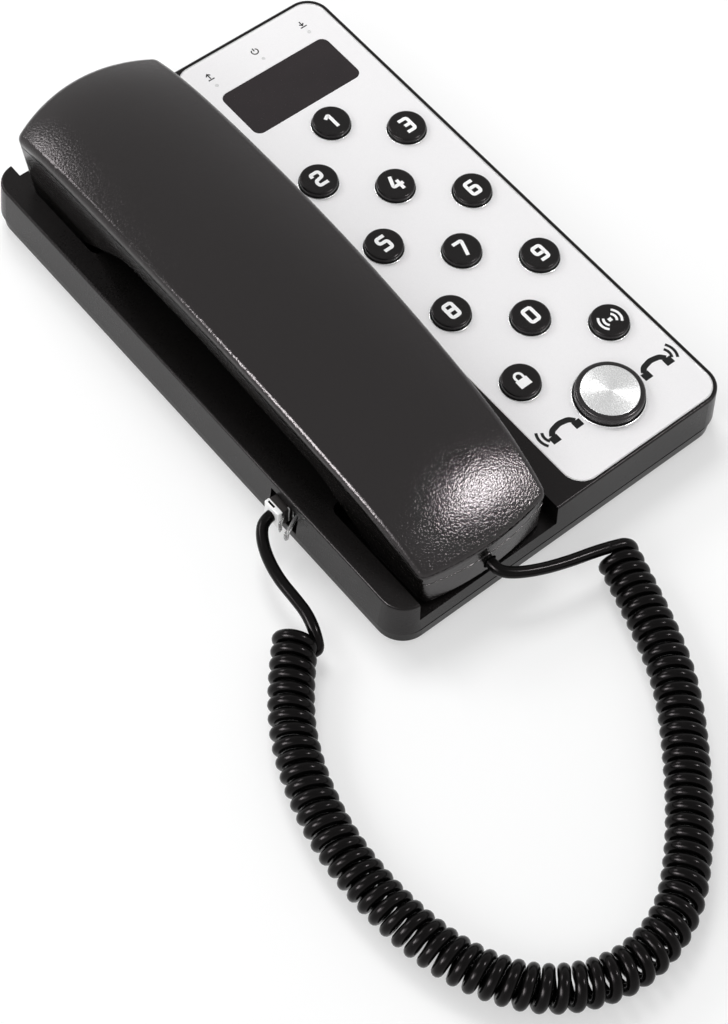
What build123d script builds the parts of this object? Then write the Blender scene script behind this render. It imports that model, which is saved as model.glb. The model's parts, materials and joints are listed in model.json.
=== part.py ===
from build123d import *
import math
import os

# A desk intercom: a flat base with a keypad and a handset cradle, a handset, and a curly cord.
# X runs from the cradle to the keypad, Y from the foot end to the display end, Z up.
# The origin is on the table, under the middle of the base. All sizes are in millimetres.

# Base shell
base_length = 200.0
base_width = 129.0
base_corner_radius = 8.0
wall = 2.2
draft_angle = 4.3
upper_height = 13.4
top_edge_radius = 0.8
seam_gap = 0.9
cover_height = 3.9
cover_floor = 1.8
cover_inset = 0.1
cover_side_inset = 0.7
cover_taper = 2.0
lip_height = 2.1
lip_thickness = 1.2
lip_clearance = 0.25

# Rubber feet
foot_height = 1.8
foot_radius = 5.0
foot_seat_depth = 0.8
foot_spread_x = base_width - 29.0
foot_spread_y = base_length - 40.0

# Plan of the deck: the side rail, the cradle, a strip of deck and the keypad face
half_width = base_width / 2
half_length = base_length / 2
rail_width = 7.5
deck_strip_width = 9.1
face_side_margin = 1.4
face_end_margin = 1.3
face_share = 0.52703
shared_width = base_width - rail_width - deck_strip_width - face_side_margin

# Keypad face
face_width = shared_width * face_share
face_length = base_length - 2 * face_end_margin
face_center_x = half_width - face_side_margin - face_width / 2
face_center_y = -0.1
face_corner_radius = 6.8
face_recess = 0.8
face_thickness = 0.7
face_clearance = 0.1
top_wall = 1.8

# Keys
key_radius = 6.15
key_proud = 2.1
key_edge_radius = 0.7
key_clearance = 0.25
key_flange_width = 0.9
key_flange_thickness = 0.9
key_flange_gap = 0.3
key_stem_radius = 1.8
key_stem_length = 1.6
key_travel = 0.8
key_stop_gap = 0.2
column_pitch = face_width * 0.3098
row_pitch = face_length * 0.16272
first_row_y = half_length - 47.9

# Call button
call_y = 20.0 - half_length
call_radius = 10.8
call_proud = 3.2
call_edge_radius = 0.9
call_cap_radius = 9.2
call_cap_thickness = 0.6

# Display
window_side_margin = 7.65
window_width = face_width - 2 * window_side_margin
window_length = 20.3
window_corner_radius = 2.8
window_y = half_length - 27.4
window_ledge = 1.6
display_clearance = 0.4
lamp_y = half_length - 12.9
lamp_spread = column_pitch + 1.0
lamp_radius = 1.4
lamp_height = 2.2
pipe_radius = 0.6

# Boards and switches
board_thickness = 1.6
switch_size = 6.0
switch_height = 3.5
switch_button_radius = 1.75
switch_button_height = 0.5
board_side_reach = 5.4
board_boss_gap = 0.4
board_foot_y = 7.0 - half_length
board_head_y = half_length - 7.4
board_end_boss_inset = 4.5
board_boss_radius = 2.8
board_screw_radius = 1.1
board_screw_head_radius = 2.1
board_screw_head_height = 1.4
board_screw_length = 6.0
screw_fit = 0.05
main_board_lift = 2.4
radio_can_width = 18.0
radio_can_height = 3.0
chip_height = 1.5
post_radius = 3.0
post_inset = 4.0

# Cradle
cradle_width = shared_width - face_width
cradle_left_x = rail_width - half_width
cradle_right_x = cradle_left_x + cradle_width
cradle_depth = 8.0
cradle_corner_radius = 3.0
ear_pocket_y = half_length - 45.0
mouth_pocket_y = 41.0 - half_length
platform_length = ear_pocket_y - mouth_pocket_y
rib_height = 0.4
rib_width = 2.0
rib_length = 8.0
rib_reach = 12.0

# Cover screws
boss_radius = 3.2
cover_screw_radius = 1.5
cover_screw_length = 6.0
screw_head_radius = 2.8
screw_head_height = 2.2
screw_head_sink = 0.4
cup_wall = 1.4
head_clearance = 0.3

# Handset outline, seen from above
handset_x = cradle_left_x + cradle_width / 2
handset_head_width = cradle_width + 1.9
handset_middle_width = cradle_width + 1.7
handset_foot_width = cradle_width - 1.1
handset_end_inset = 0.4
handset_head_reach = 0.1
handset_head_y = half_length + handset_head_reach
handset_foot_y = handset_end_inset - half_length
head_bow = 5.8
foot_bow = 2.8
handset_corner_radius = 3.2
handset_taper_side = 0.093
handset_taper_head = 0.12
handset_taper_foot = 0.06
foot_rim_z = 26.5
handset_reference_z = 45.0
handset_wall = 2.0

# Handset, seen from the side: the crease as shares of the base's length, and heights over the table
crease_shares = (
    (0.53, 34.2),
    (0.464, 40.1),
    (0.39, 43.4),
    (0.25, 45.4),
    (0.06, 45.8),
    (-0.125, 43.6),
    (-0.275, 40.0),
    (-0.4, 34.6),
    (-0.49, 26.4),
    (-0.53, 21.5),
)
crease_points = [(share * base_length, height) for share, height in crease_shares]
crown_heights = (6.2, 4.9, 4.1, 3.9, 3.8, 3.7, 3.2, 2.4, 1.5, 1.0)
seam_drop = 3.5
handset_seam_gap = 0.4
grip_thickness = 11.6
handset_bottom_lift = 0.6
ear_toe_y = ear_pocket_y + 14.0
ear_heel_y = ear_pocket_y - 16.0
mouth_toe_y = mouth_pocket_y - 17.0
mouth_heel_y = mouth_pocket_y + 8.0
grip_middle_y = 0.0
toe_radius = 8.0
heel_radius = 22.0
grip_bend_radius = 120.0
crease_edge_radius = 2.4
under_edge_radius = 1.4

# Handset contents
receiver_y = half_length - 16.6
receiver_radius = 9.6
receiver_height = 6.0
receiver_hole_circle = 5.0
handset_screw_y = 11.0 - half_length
handset_screw_offset_x = handset_foot_width / 2 - 8.7
microphone_y = handset_screw_y
microphone_offset_x = handset_screw_offset_x / 2
microphone_radius = microphone_offset_x - 4.0
microphone_height = 4.5
weight_width = 30.0
weight_length = ear_heel_y - mouth_heel_y - 30.0
weight_height = 4.0
weight_y = (ear_heel_y + mouth_heel_y) / 2 + 14.0
handset_boss_radius = 3.0
handset_screw_length = 8.0
sound_hole_radius = 1.0
sound_hole_pitch = 3.6

# Hook plunger
hook_y = ear_toe_y + 9.0
hook_radius = 3.4
hook_clearance = 0.3
hook_flange_radius = 5.0
hook_flange_thickness = 0.8
hook_stop_gap = 0.3
hook_board_size = 16.0
hook_board_thickness = 0.8
hook_board_seat = 0.4
hook_switch_height = 1.0
hook_button_height = 0.3

# Handset jack and plug in the cradle side
jack_y = mouth_pocket_y + 12.0
jack_z = 12.0
plug_width = 7.65
plug_height = 6.6
plug_length = 13.2
plug_proud = 3.3
plug_fit = 0.1
latch_width = 3.2
latch_thickness = 0.9
latch_rise = 3.4
latch_length = 11.5
jack_wall = 1.2
jack_depth = 11.5
jack_opening_margin = 0.8
contact_pitch = 1.02
contact_width = 0.5
contact_count = 4
blade_length = 5.0
blade_height = 1.0

# Power inlet in the head wall
inlet_x = face_center_x - 9.4
inlet_z = 12.0
inlet_width = 9.0
inlet_height = 9.6
inlet_length = 13.0
inlet_bore_radius = 3.15
inlet_bore_depth = 9.5
inlet_pin_radius = 1.0
inlet_pin_length = 8.0

# Loudspeaker in the lower cover
speaker_x = handset_x + 4.25
speaker_y = ear_pocket_y - 24.0
speaker_radius = 20.0
speaker_flange = 1.0
speaker_rim = 3.0
speaker_basket = 7.0
speaker_skin = 0.8
magnet_radius = 9.0
magnet_height = 4.5

# Main board, between the loudspeaker and the mouth pocket
main_board_width = 38.0
main_board_length = platform_length - 56.0
main_board_x = handset_x + 5.75
main_board_y = mouth_pocket_y + 9.0 + main_board_length / 2
cone_thickness = 0.5
control_chip_offset_x = 12.0
audio_chip_offset_x = 3.0

# Wall keyholes
keyhole_spread_x = base_width - 37.0
keyhole_y = half_length - 39.0
keyhole_radius = 4.0
keyhole_slot_width = 4.2
keyhole_slot_length = 8.0

# Antenna under the cradle
antenna_x = 10.0 - half_width
antenna_radius = 2.4
antenna_length = speaker_y - jack_y - 34.0
antenna_y = jack_y + 13.0 + antenna_length / 2
clip_length = 5.0

# Curly cord
wire_diameter = 3.5
curl_outer_diameter = 13.7
whole_turns = 70
cord_floor_gap = 0.25
radius_share = 0.45
grommet_radius = 2.3
grommet_plate_width = 9.0
grommet_plate_thickness = 1.4
grommet_tail_length = 4.0
grommet_sink = 1.0
grommet_gap = 0.15

# Levels, from the table up
cover_bottom = foot_height
floor_top = cover_bottom + cover_floor
cover_top = cover_bottom + cover_height
housing_bottom = cover_top + seam_gap
housing_top = housing_bottom + upper_height
face_seat = housing_top - face_recess
face_top = face_seat + face_thickness
ceiling = face_seat - top_wall
key_flange_top = ceiling - key_flange_gap
key_flange_bottom = key_flange_top - key_flange_thickness
key_stem_bottom = key_flange_bottom - key_stem_length
switch_top = key_stem_bottom - key_travel - key_stop_gap
board_top = switch_top - switch_button_height - switch_height
board_bottom = board_top - board_thickness
main_board_bottom = floor_top + main_board_lift
main_board_top = main_board_bottom + board_thickness
cradle_floor = housing_top - cradle_depth
cradle_underside = cradle_floor - wall
handset_bottom = cradle_floor + handset_bottom_lift
handset_floor = handset_bottom + handset_wall
cord_exit_z = handset_floor + grommet_radius + grommet_gap
screw_seat = cover_bottom + screw_head_sink + screw_head_height
boss_bottom = screw_seat + cup_wall

# Places that follow from the sizes
housing_flare = upper_height * math.tan(math.radians(draft_angle))
jack_face_x = -half_width + wall
plug_rear_x = -half_width - plug_proud
foot_wall_y = handset_foot_y + handset_taper_foot * (cord_exit_z + grommet_radius - foot_rim_z)
board_boss_places = (
    (face_center_x - column_pitch / 2, first_row_y - 0.75 * row_pitch),
    (face_center_x + column_pitch / 2, first_row_y - 0.75 * row_pitch),
    (face_center_x - column_pitch / 2, first_row_y - 2.75 * row_pitch),
    (face_center_x + column_pitch / 2, first_row_y - 2.75 * row_pitch),
    (face_center_x - 1.45 * column_pitch, board_foot_y + board_end_boss_inset),
    (face_center_x + 0.9 * column_pitch, board_foot_y + board_end_boss_inset),
    (face_center_x - 1.5 * column_pitch, window_y),
)
side_boss_x = half_width - wall - boss_radius - 0.9
corner_boss_y = half_length - wall - boss_radius - 2.1
board_left_x = face_center_x - face_width / 2 - board_side_reach
board_right_x = side_boss_x - boss_radius - board_boss_gap
cover_boss_places = (
    (side_boss_x, corner_boss_y),
    (side_boss_x, first_row_y - 2 * row_pitch),
    (side_boss_x, -corner_boss_y),
    (cradle_left_x + boss_radius, corner_boss_y),
    (cradle_left_x + boss_radius, -corner_boss_y),
    (cradle_left_x + boss_radius - 2.0, speaker_y),
)
foot_places = [(x * foot_spread_x / 2, y * foot_spread_y / 2) for x in (-1, 1) for y in (-1, 1)]
post_places = [
    (
        main_board_x + x * (main_board_width / 2 - post_inset),
        main_board_y + y * (main_board_length / 2 - post_inset - 3.0),
    )
    for x in (-1, 1)
    for y in (-1, 1)
]
lamp_places = [(face_center_x + side * lamp_spread, lamp_y) for side in (-1, 0, 1)]


def key_place(column, row):
    """Centre of a key: three columns, the outer two half a row lower than the middle one."""
    x = face_center_x + column * column_pitch
    y = first_row_y - row * row_pitch - abs(column) * row_pitch / 2
    return x, y


key_places = {
    "key_1": key_place(0, 0),
    "key_2": key_place(-1, 0),
    "key_3": key_place(1, 0),
    "key_4": key_place(0, 1),
    "key_5": key_place(-1, 1),
    "key_6": key_place(1, 1),
    "key_7": key_place(0, 2),
    "key_8": key_place(-1, 2),
    "key_9": key_place(1, 2),
    "key_0": key_place(0, 3),
    "key_function_left": key_place(-1, 3),
    "key_function_right": key_place(1, 3),
}
call_place = (face_center_x, call_y)


def box(x_low, x_high, y_low, y_high, z_low, z_high):
    """A box between two corners."""
    middle = ((x_low + x_high) / 2, (y_low + y_high) / 2, (z_low + z_high) / 2)
    return Pos(*middle) * Box(x_high - x_low, y_high - y_low, z_high - z_low)


def disc(place, radius, z_low, z_high):
    """An upright cylinder at a place on the plan."""
    return Pos(place[0], place[1], (z_low + z_high) / 2) * Cylinder(radius, z_high - z_low)


def slab(place, width, length, radius, z_low, z_high, taper=0.0):
    """An upright prism with rounded corners, narrower at its top where it has a taper."""
    outline = Pos(place[0], place[1], z_low) * RectangleRounded(width, length, radius)
    return extrude(outline, z_high - z_low, taper=taper)


def lying_rod(start, end, radius):
    """A round bar between two points."""
    axis = Vector(*end) - Vector(*start)
    circle = Plane(origin=start, z_dir=axis) * Circle(radius)
    return extrude(circle, axis.length)


# Base shells

def pocket(y_inner, direction, grow, z_low):
    """The space of a cradle pocket, from its inner wall past the end of the base."""
    width = cradle_right_x - cradle_left_x + 2 * grow
    y_outer = direction * (half_length + 20.0)
    y_near = y_inner - direction * grow
    place = ((cradle_left_x + cradle_right_x) / 2, (y_outer + y_near) / 2)
    radius = cradle_corner_radius + grow
    return slab(place, width, abs(y_outer - y_near), radius, z_low, housing_top + 5.0)


def jack_opening():
    """The window in the cradle side that shows the plug."""
    y_head = jack_y + plug_height / 2 + jack_opening_margin + blade_height
    y_foot = jack_y - plug_height / 2 - latch_rise - jack_opening_margin
    z_half = plug_width / 2 + jack_opening_margin
    return box(-half_width - 5.0, jack_face_x + 0.5, y_foot, y_head, jack_z - z_half, jack_z + z_half)


def make_upper_housing():
    """The upper shell: keypad deck, side rail and the two cradle pockets."""
    width = base_width + 2 * housing_flare
    length = base_length + 2 * housing_flare
    corner = base_corner_radius + housing_flare
    shell = slab((0, 0), width, length, corner, housing_bottom, housing_top, draft_angle)
    shell = fillet(shell.edges().group_by(Axis.Z)[-1], top_edge_radius)
    ear_space = pocket(ear_pocket_y, 1, 0.0, cradle_floor)
    mouth_space = pocket(mouth_pocket_y, -1, 0.0, cradle_floor)
    inside = slab(
        (0, 0),
        base_width - 2 * wall,
        base_length - 2 * wall,
        base_corner_radius - wall,
        housing_bottom - 1.0,
        ceiling,
    )
    inside -= pocket(ear_pocket_y, 1, wall, cradle_underside)
    inside -= pocket(mouth_pocket_y, -1, wall, cradle_underside)
    shell -= [ear_space, mouth_space, inside]
    face_place = (face_center_x, face_center_y)
    margin = 2 * face_clearance
    shell -= slab(face_place, face_width + margin, face_length + margin,
                  face_corner_radius, face_seat, housing_top + 1.0)
    holes = [disc(place, key_radius + key_clearance, ceiling - 1.0, housing_top)
             for place in key_places.values()]
    holes.append(disc(call_place, call_radius + key_clearance, ceiling - 1.0, housing_top))
    holes += [disc(place, pipe_radius + screw_fit, ceiling - 1.0, housing_top) for place in lamp_places]
    holes.append(slab((face_center_x, window_y), window_width - 2 * window_ledge,
                      window_length - 2 * window_ledge, 1.0, ceiling - 1.0, housing_top))
    holes.append(jack_opening())
    holes.append(lying_rod((inlet_x, half_length - wall - 1.0, inlet_z),
                           (inlet_x, half_length + 2.0, inlet_z), inlet_bore_radius))
    hook_place = (handset_x, hook_y)
    holes.append(disc(hook_place, hook_radius + hook_clearance, cradle_underside - 1.0, cradle_floor + 1.0))
    shell -= holes
    for x, y in board_boss_places:
        shell += disc((x, y), board_boss_radius, board_top, ceiling)
        shell -= disc((x, y), board_screw_radius + screw_fit, board_top - 1.0, board_top + board_screw_length)
    for x, y in cover_boss_places:
        in_pocket = x < cradle_right_x and not mouth_pocket_y < y < ear_pocket_y
        boss_top = cradle_underside if in_pocket else ceiling
        shell += disc((x, y), boss_radius, boss_bottom, boss_top)
        shell -= disc((x, y), cover_screw_radius + screw_fit, boss_bottom - 1.0,
                      screw_seat + cover_screw_length + 0.5)
    for side in (-1, 1):
        x = handset_x + side * rib_reach
        ear_end = half_length - rib_length
        mouth_end = -half_length + rib_length
        shell += box(x - rib_width / 2, x + rib_width / 2, ear_end - rib_length, ear_end,
                     cradle_floor, cradle_floor + rib_height)
        shell += box(x - rib_width / 2, x + rib_width / 2, mouth_end, mouth_end + rib_length,
                     cradle_floor, cradle_floor + rib_height)
    return shell


def make_lower_cover():
    """The bottom tray with its locating lip, screw cups, posts, keyholes and sound holes."""
    flare = cover_height * math.tan(math.radians(cover_taper))
    width = base_width + 2 * housing_flare - 2 * cover_inset - 2 * cover_side_inset
    length = base_length + 2 * housing_flare - 2 * cover_inset
    plan = Pos(0, 0, cover_top) * RectangleRounded(width, length, base_corner_radius + housing_flare)
    tray = extrude(plan, -cover_height, taper=cover_taper)
    inner_width = width - 2 * flare - 2 * wall
    inner_length = length - 2 * flare - 2 * wall
    tray -= slab((0, 0), inner_width, inner_length, base_corner_radius - wall, floor_top, cover_top + 1.0)
    lip_width = base_width - 2 * wall - 2 * lip_clearance
    lip_length = base_length - 2 * wall - 2 * lip_clearance
    lip_radius = base_corner_radius - wall
    lip = slab((0, 0), lip_width, lip_length, lip_radius, floor_top - 0.5, cover_top + lip_height)
    lip -= slab((0, 0), lip_width - 2 * lip_thickness, lip_length - 2 * lip_thickness,
                lip_radius - lip_thickness, floor_top - 1.0, cover_top + lip_height + 1.0)
    lip -= box(-half_width, jack_face_x + 10.0, jack_y - 14.0, jack_y + 10.0,
               cover_top - 0.5, cover_top + lip_height + 1.0)
    lip -= box(inlet_x - inlet_width / 2 - 1.0, inlet_x + inlet_width / 2 + 1.0,
               half_length - 20.0, half_length, cover_top - 0.5, cover_top + lip_height + 1.0)
    lip -= [disc(place, boss_radius + lip_clearance, boss_bottom, housing_top) for place in cover_boss_places]
    tray += lip
    cup_radius = screw_head_radius + head_clearance + cup_wall
    for place in cover_boss_places:
        tray += disc(place, cup_radius, cover_bottom, boss_bottom)
        tray -= disc(place, screw_head_radius + head_clearance, cover_bottom - 1.0, screw_seat)
        tray -= disc(place, cover_screw_radius + screw_fit, cover_bottom, boss_bottom + 1.0)
    for place in foot_places:
        tray += disc(place, foot_radius + wall, cover_bottom, floor_top + foot_seat_depth)
        tray -= disc(place, foot_radius + screw_fit, cover_bottom - 1.0, cover_bottom + foot_seat_depth)
    for place in post_places:
        tray += disc(place, post_radius, floor_top, main_board_bottom)
        tray -= disc(place, board_screw_radius + screw_fit, cover_bottom + 0.8, main_board_bottom + 1.0)
    inlet_bottom = inlet_z - inlet_height / 2
    tray += box(inlet_x - inlet_width / 2, inlet_x + inlet_width / 2, half_length - wall - inlet_length + 2.0,
                half_length - wall - 1.5, floor_top, inlet_bottom)
    tray += box(handset_x - hook_board_size / 2, handset_x + hook_board_size / 2,
                hook_y - hook_board_size / 2, hook_y + hook_board_size / 2,
                floor_top, floor_top + hook_board_seat)
    for side in (-1, 1):
        y = antenna_y + side * (antenna_length / 2 - clip_length)
        saddle = box(antenna_x - antenna_radius - 1.0, antenna_x + antenna_radius + 1.0,
                     y - clip_length / 2, y + clip_length / 2, floor_top, antenna_level())
        saddle -= lying_rod((antenna_x, y - clip_length, antenna_level()),
                            (antenna_x, y + clip_length, antenna_level()), antenna_radius + 0.1)
        tray += saddle
    reach = speaker_radius - speaker_rim - 2.0
    steps = int(reach / sound_hole_pitch) + 1
    sound_holes = []
    for column in range(-steps, steps + 1):
        for row in range(-steps, steps + 1):
            x = column * sound_hole_pitch + (row % 2) * sound_hole_pitch / 2
            y = row * sound_hole_pitch * math.sqrt(3) / 2
            if math.hypot(x, y) <= reach:
                sound_holes.append(disc((speaker_x + x, speaker_y + y), sound_hole_radius,
                                        cover_bottom - 1.0, floor_top + 1.0))
    tray -= sound_holes
    for side in (-1, 1):
        x = side * keyhole_spread_x / 2
        tray -= disc((x, keyhole_y), keyhole_radius, cover_bottom - 1.0, floor_top + 1.0)
        tray -= box(x - keyhole_slot_width / 2, x + keyhole_slot_width / 2, keyhole_y,
                    keyhole_y + keyhole_slot_length, cover_bottom - 1.0, floor_top + 1.0)
    return tray


def make_rubber_feet():
    """Four round feet, seated in the tray."""
    return [disc(place, foot_radius, 0.0, cover_bottom + foot_seat_depth) for place in foot_places]


def make_screw(place, seat, length, radius, head_radius, head_height, up):
    """A pan-head screw whose head bears on a seat and whose shank points up or down."""
    direction = 1 if up else -1
    shank = disc(place, radius, min(seat, seat + direction * length), max(seat, seat + direction * length))
    head = disc(place, head_radius, min(seat, seat - direction * head_height),
                max(seat, seat - direction * head_height))
    slot_depth = head_height / 2
    slot_low = seat - direction * head_height
    slot_high = slot_low + direction * slot_depth
    slot = box(place[0] - head_radius * 0.6, place[0] + head_radius * 0.6, place[1] - 0.3, place[1] + 0.3,
               min(slot_low, slot_high), max(slot_low, slot_high))
    cross = Pos(place[0], place[1], 0) * Rot(0, 0, 90) * Pos(-place[0], -place[1], 0) * slot
    return shank + head - slot - cross


def make_cover_screws():
    """The six screws that close the base from below."""
    return [make_screw(place, screw_seat, cover_screw_length, cover_screw_radius,
                       screw_head_radius, screw_head_height, True) for place in cover_boss_places]


def make_board_screws():
    """The screws of the keypad board, from below, and of the main board, from above."""
    screws = [make_screw(place, board_bottom, board_screw_length + board_thickness - 0.5, board_screw_radius,
                         board_screw_head_radius, board_screw_head_height, True)
              for place in board_boss_places]
    screws += [make_screw(place, main_board_top, board_thickness + main_board_lift + 0.5, board_screw_radius,
                          board_screw_head_radius, board_screw_head_height, False)
               for place in post_places]
    return screws


# Keypad face

def make_faceplate():
    """The silver plate with its key, lamp and window openings."""
    plate = slab((face_center_x, face_center_y), face_width, face_length, face_corner_radius,
                 face_seat, face_top)
    holes = [disc(place, key_radius + key_clearance, face_seat - 1.0, face_top + 1.0)
             for place in key_places.values()]
    holes.append(disc(call_place, call_radius + key_clearance, face_seat - 1.0, face_top + 1.0))
    holes += [disc(place, pipe_radius + screw_fit, face_seat - 1.0, face_top + 1.0) for place in lamp_places]
    holes.append(slab((face_center_x, window_y), window_width, window_length, window_corner_radius,
                      face_seat - 1.0, face_top + 1.0))
    return plate - holes


def make_display_window():
    """The smoked window, inlaid level with the faceplate."""
    margin = 2 * face_clearance
    return slab((face_center_x, window_y), window_width - margin, window_length - margin,
                window_corner_radius - face_clearance, face_seat, face_top)


def make_display_module():
    """The digit display on the keypad board, just under the window."""
    width = window_width - 2 * window_ledge - 2 * display_clearance
    length = window_length - 2 * window_ledge - 2 * display_clearance
    body = slab((face_center_x, window_y), width, length, 0.5, board_top, face_seat - key_flange_gap)
    digit_pitch = width / 4
    for digit in range(4):
        x = face_center_x + (digit - 1.5) * digit_pitch
        body -= slab((x, window_y), digit_pitch * 0.62, length * 0.7, 0.4,
                     face_seat - key_flange_gap - 0.4, face_seat)
    return body


def make_status_lamps():
    """Three small lamps on the keypad board."""
    return [disc(place, lamp_radius, board_top, board_top + lamp_height) for place in lamp_places]


def make_light_pipes():
    """Three clear rods that carry the lamps' light to the face."""
    start = board_top + lamp_height + key_flange_gap
    return [disc(place, pipe_radius, start, face_top) for place in lamp_places]


def make_key(place):
    """A round key with its holding flange and its stem."""
    cap = disc(place, key_radius, key_flange_bottom, face_top + key_proud)
    cap = fillet(cap.edges().group_by(Axis.Z)[-1], key_edge_radius)
    cap += disc(place, key_radius + key_flange_width, key_flange_bottom, key_flange_top)
    cap += disc(place, key_stem_radius, key_stem_bottom, key_flange_bottom)
    return cap


def make_call_button():
    """The large round button, with a seat for its metal cap."""
    top = face_top + call_proud
    body = disc(call_place, call_radius, key_flange_bottom, top)
    body = fillet(body.edges().group_by(Axis.Z)[-1], call_edge_radius)
    body += disc(call_place, call_radius + key_flange_width, key_flange_bottom, key_flange_top)
    body += disc(call_place, key_stem_radius, key_stem_bottom, key_flange_bottom)
    body -= disc(call_place, call_cap_radius, top - call_cap_thickness, top + 1.0)
    return body


def make_call_cap():
    """The turned metal disc in the top of the large button."""
    top = face_top + call_proud
    cap = disc(call_place, call_cap_radius - screw_fit, top - call_cap_thickness, top)
    return chamfer(cap.edges().group_by(Axis.Z)[-1], 0.15)


# Electronics

def make_keypad_board():
    """The board under the deck, with holes for its screws and a notch for the power inlet."""
    board = box(board_left_x, board_right_x, board_foot_y, board_head_y, board_bottom, board_top)
    board -= box(inlet_x - inlet_width / 2 - 1.0, inlet_x + inlet_width / 2 + 1.0,
                 half_length - wall - inlet_length - 1.0, half_length, board_bottom - 1.0, board_top + 1.0)
    board -= [disc(place, board_screw_radius + screw_fit, board_bottom - 1.0, board_top + 1.0)
              for place in board_boss_places]
    return board


def make_key_switches():
    """One push switch under each key and under the large button."""
    switches = []
    for x, y in list(key_places.values()) + [call_place]:
        body = box(x - switch_size / 2, x + switch_size / 2, y - switch_size / 2, y + switch_size / 2,
                   board_top, board_top + switch_height)
        switches.append(body + disc((x, y), switch_button_radius, board_top + switch_height, switch_top))
    return switches


def make_main_board():
    """The lower board, on its four posts."""
    board = box(main_board_x - main_board_width / 2, main_board_x + main_board_width / 2,
                main_board_y - main_board_length / 2, main_board_y + main_board_length / 2,
                main_board_bottom, main_board_top)
    board -= [disc(place, board_screw_radius + screw_fit, main_board_bottom - 1.0, main_board_top + 1.0)
              for place in post_places]
    return board


def make_radio_module():
    """The radio's metal can on the main board."""
    place = (main_board_x - 3.0, main_board_y - 0.138 * main_board_length)
    can = slab(place, radio_can_width, 0.448 * main_board_length, 0.8,
               main_board_top, main_board_top + radio_can_height)
    return fillet(can.edges().group_by(Axis.Z)[-1], 0.4)


def make_main_chips():
    """The two large chips on the main board."""
    top = main_board_top + chip_height
    control_place = (main_board_x + control_chip_offset_x, main_board_y - 0.138 * main_board_length)
    audio_place = (main_board_x + audio_chip_offset_x, main_board_y + 0.31 * main_board_length)
    return [
        slab(control_place, 9.0, 9.0, 0.4, main_board_top, top),
        slab(audio_place, 8.0, 6.0, 0.3, main_board_top, top),
    ]


def antenna_level():
    """Height of the antenna's axis over the table."""
    return floor_top + antenna_radius + 0.6


def make_antenna():
    """The rod antenna in its two saddles."""
    return lying_rod((antenna_x, antenna_y - antenna_length / 2, antenna_level()),
                     (antenna_x, antenna_y + antenna_length / 2, antenna_level()), antenna_radius)


def make_power_inlet():
    """The barrel inlet behind the hole in the head wall."""
    y_face = half_length - wall
    body = box(inlet_x - inlet_width / 2, inlet_x + inlet_width / 2, y_face - inlet_length, y_face,
               inlet_z - inlet_height / 2, inlet_z + inlet_height / 2)
    body -= lying_rod((inlet_x, y_face - inlet_bore_depth, inlet_z), (inlet_x, y_face + 1.0, inlet_z),
                      inlet_bore_radius)
    body += lying_rod((inlet_x, y_face - inlet_bore_depth - 0.5, inlet_z),
                      (inlet_x, y_face - inlet_bore_depth + inlet_pin_length, inlet_z), inlet_pin_radius)
    return body


def spin(points, place, z_low):
    """A turned piece from a closed outline of radius and height points."""
    outline = make_face(Plane.XZ * Polyline(*points, close=True))
    return Pos(place[0], place[1], z_low) * revolve(outline, Axis.Z)


def make_speaker_frame():
    """The loudspeaker's basket: rim on the tray, wall and back plate."""
    inner = speaker_radius - speaker_rim
    points = (
        (inner, 0.0),
        (speaker_radius, 0.0),
        (speaker_radius, speaker_flange),
        (inner + speaker_skin, speaker_flange),
        (inner + speaker_skin, speaker_basket),
        (0.0, speaker_basket),
        (0.0, speaker_basket - speaker_skin),
        (inner, speaker_basket - speaker_skin),
    )
    return spin(points, (speaker_x, speaker_y), floor_top)


def make_speaker_cone():
    """The loudspeaker's cone, just inside the basket."""
    rim = speaker_radius - speaker_rim - 0.3
    neck = rim * 0.3
    rise = speaker_basket - speaker_skin - cone_thickness - 0.9
    points = (
        (rim, 0.4),
        (rim, 0.4 + cone_thickness),
        (neck, 0.4 + rise + cone_thickness),
        (0.0, 0.4 + rise + cone_thickness),
        (0.0, 0.4 + rise),
        (neck, 0.4 + rise),
    )
    return spin(points, (speaker_x, speaker_y), floor_top)


def make_speaker_magnet():
    """The magnet on the back of the basket."""
    low = floor_top + speaker_basket
    return disc((speaker_x, speaker_y), magnet_radius, low, low + magnet_height)


def make_hook_board():
    """The small board that carries the hook switch."""
    low = floor_top + hook_board_seat
    half = hook_board_size / 2
    return box(handset_x - half, handset_x + half, hook_y - half, hook_y + half,
               low, low + hook_board_thickness)


def make_hook_switch():
    """The switch that the hook plunger presses while the handset rests."""
    low = floor_top + hook_board_seat + hook_board_thickness
    body = box(handset_x - 3.0, handset_x + 3.0, hook_y - 3.0, hook_y + 3.0, low, low + hook_switch_height)
    top = low + hook_switch_height
    return body + disc((handset_x, hook_y), 1.5, top, top + hook_button_height)


def make_hook_plunger():
    """The plunger in the ear pocket, shown held down by the handset."""
    place = (handset_x, hook_y)
    switch_low = floor_top + hook_board_seat + hook_board_thickness
    bottom = switch_low + hook_switch_height + hook_button_height + hook_stop_gap
    plunger = disc(place, hook_radius, bottom, handset_bottom - hook_stop_gap)
    plunger = fillet(plunger.edges().group_by(Axis.Z)[-1], 0.6)
    return plunger + disc(place, hook_flange_radius, bottom, bottom + hook_flange_thickness)


# Handset jack and plug

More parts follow.
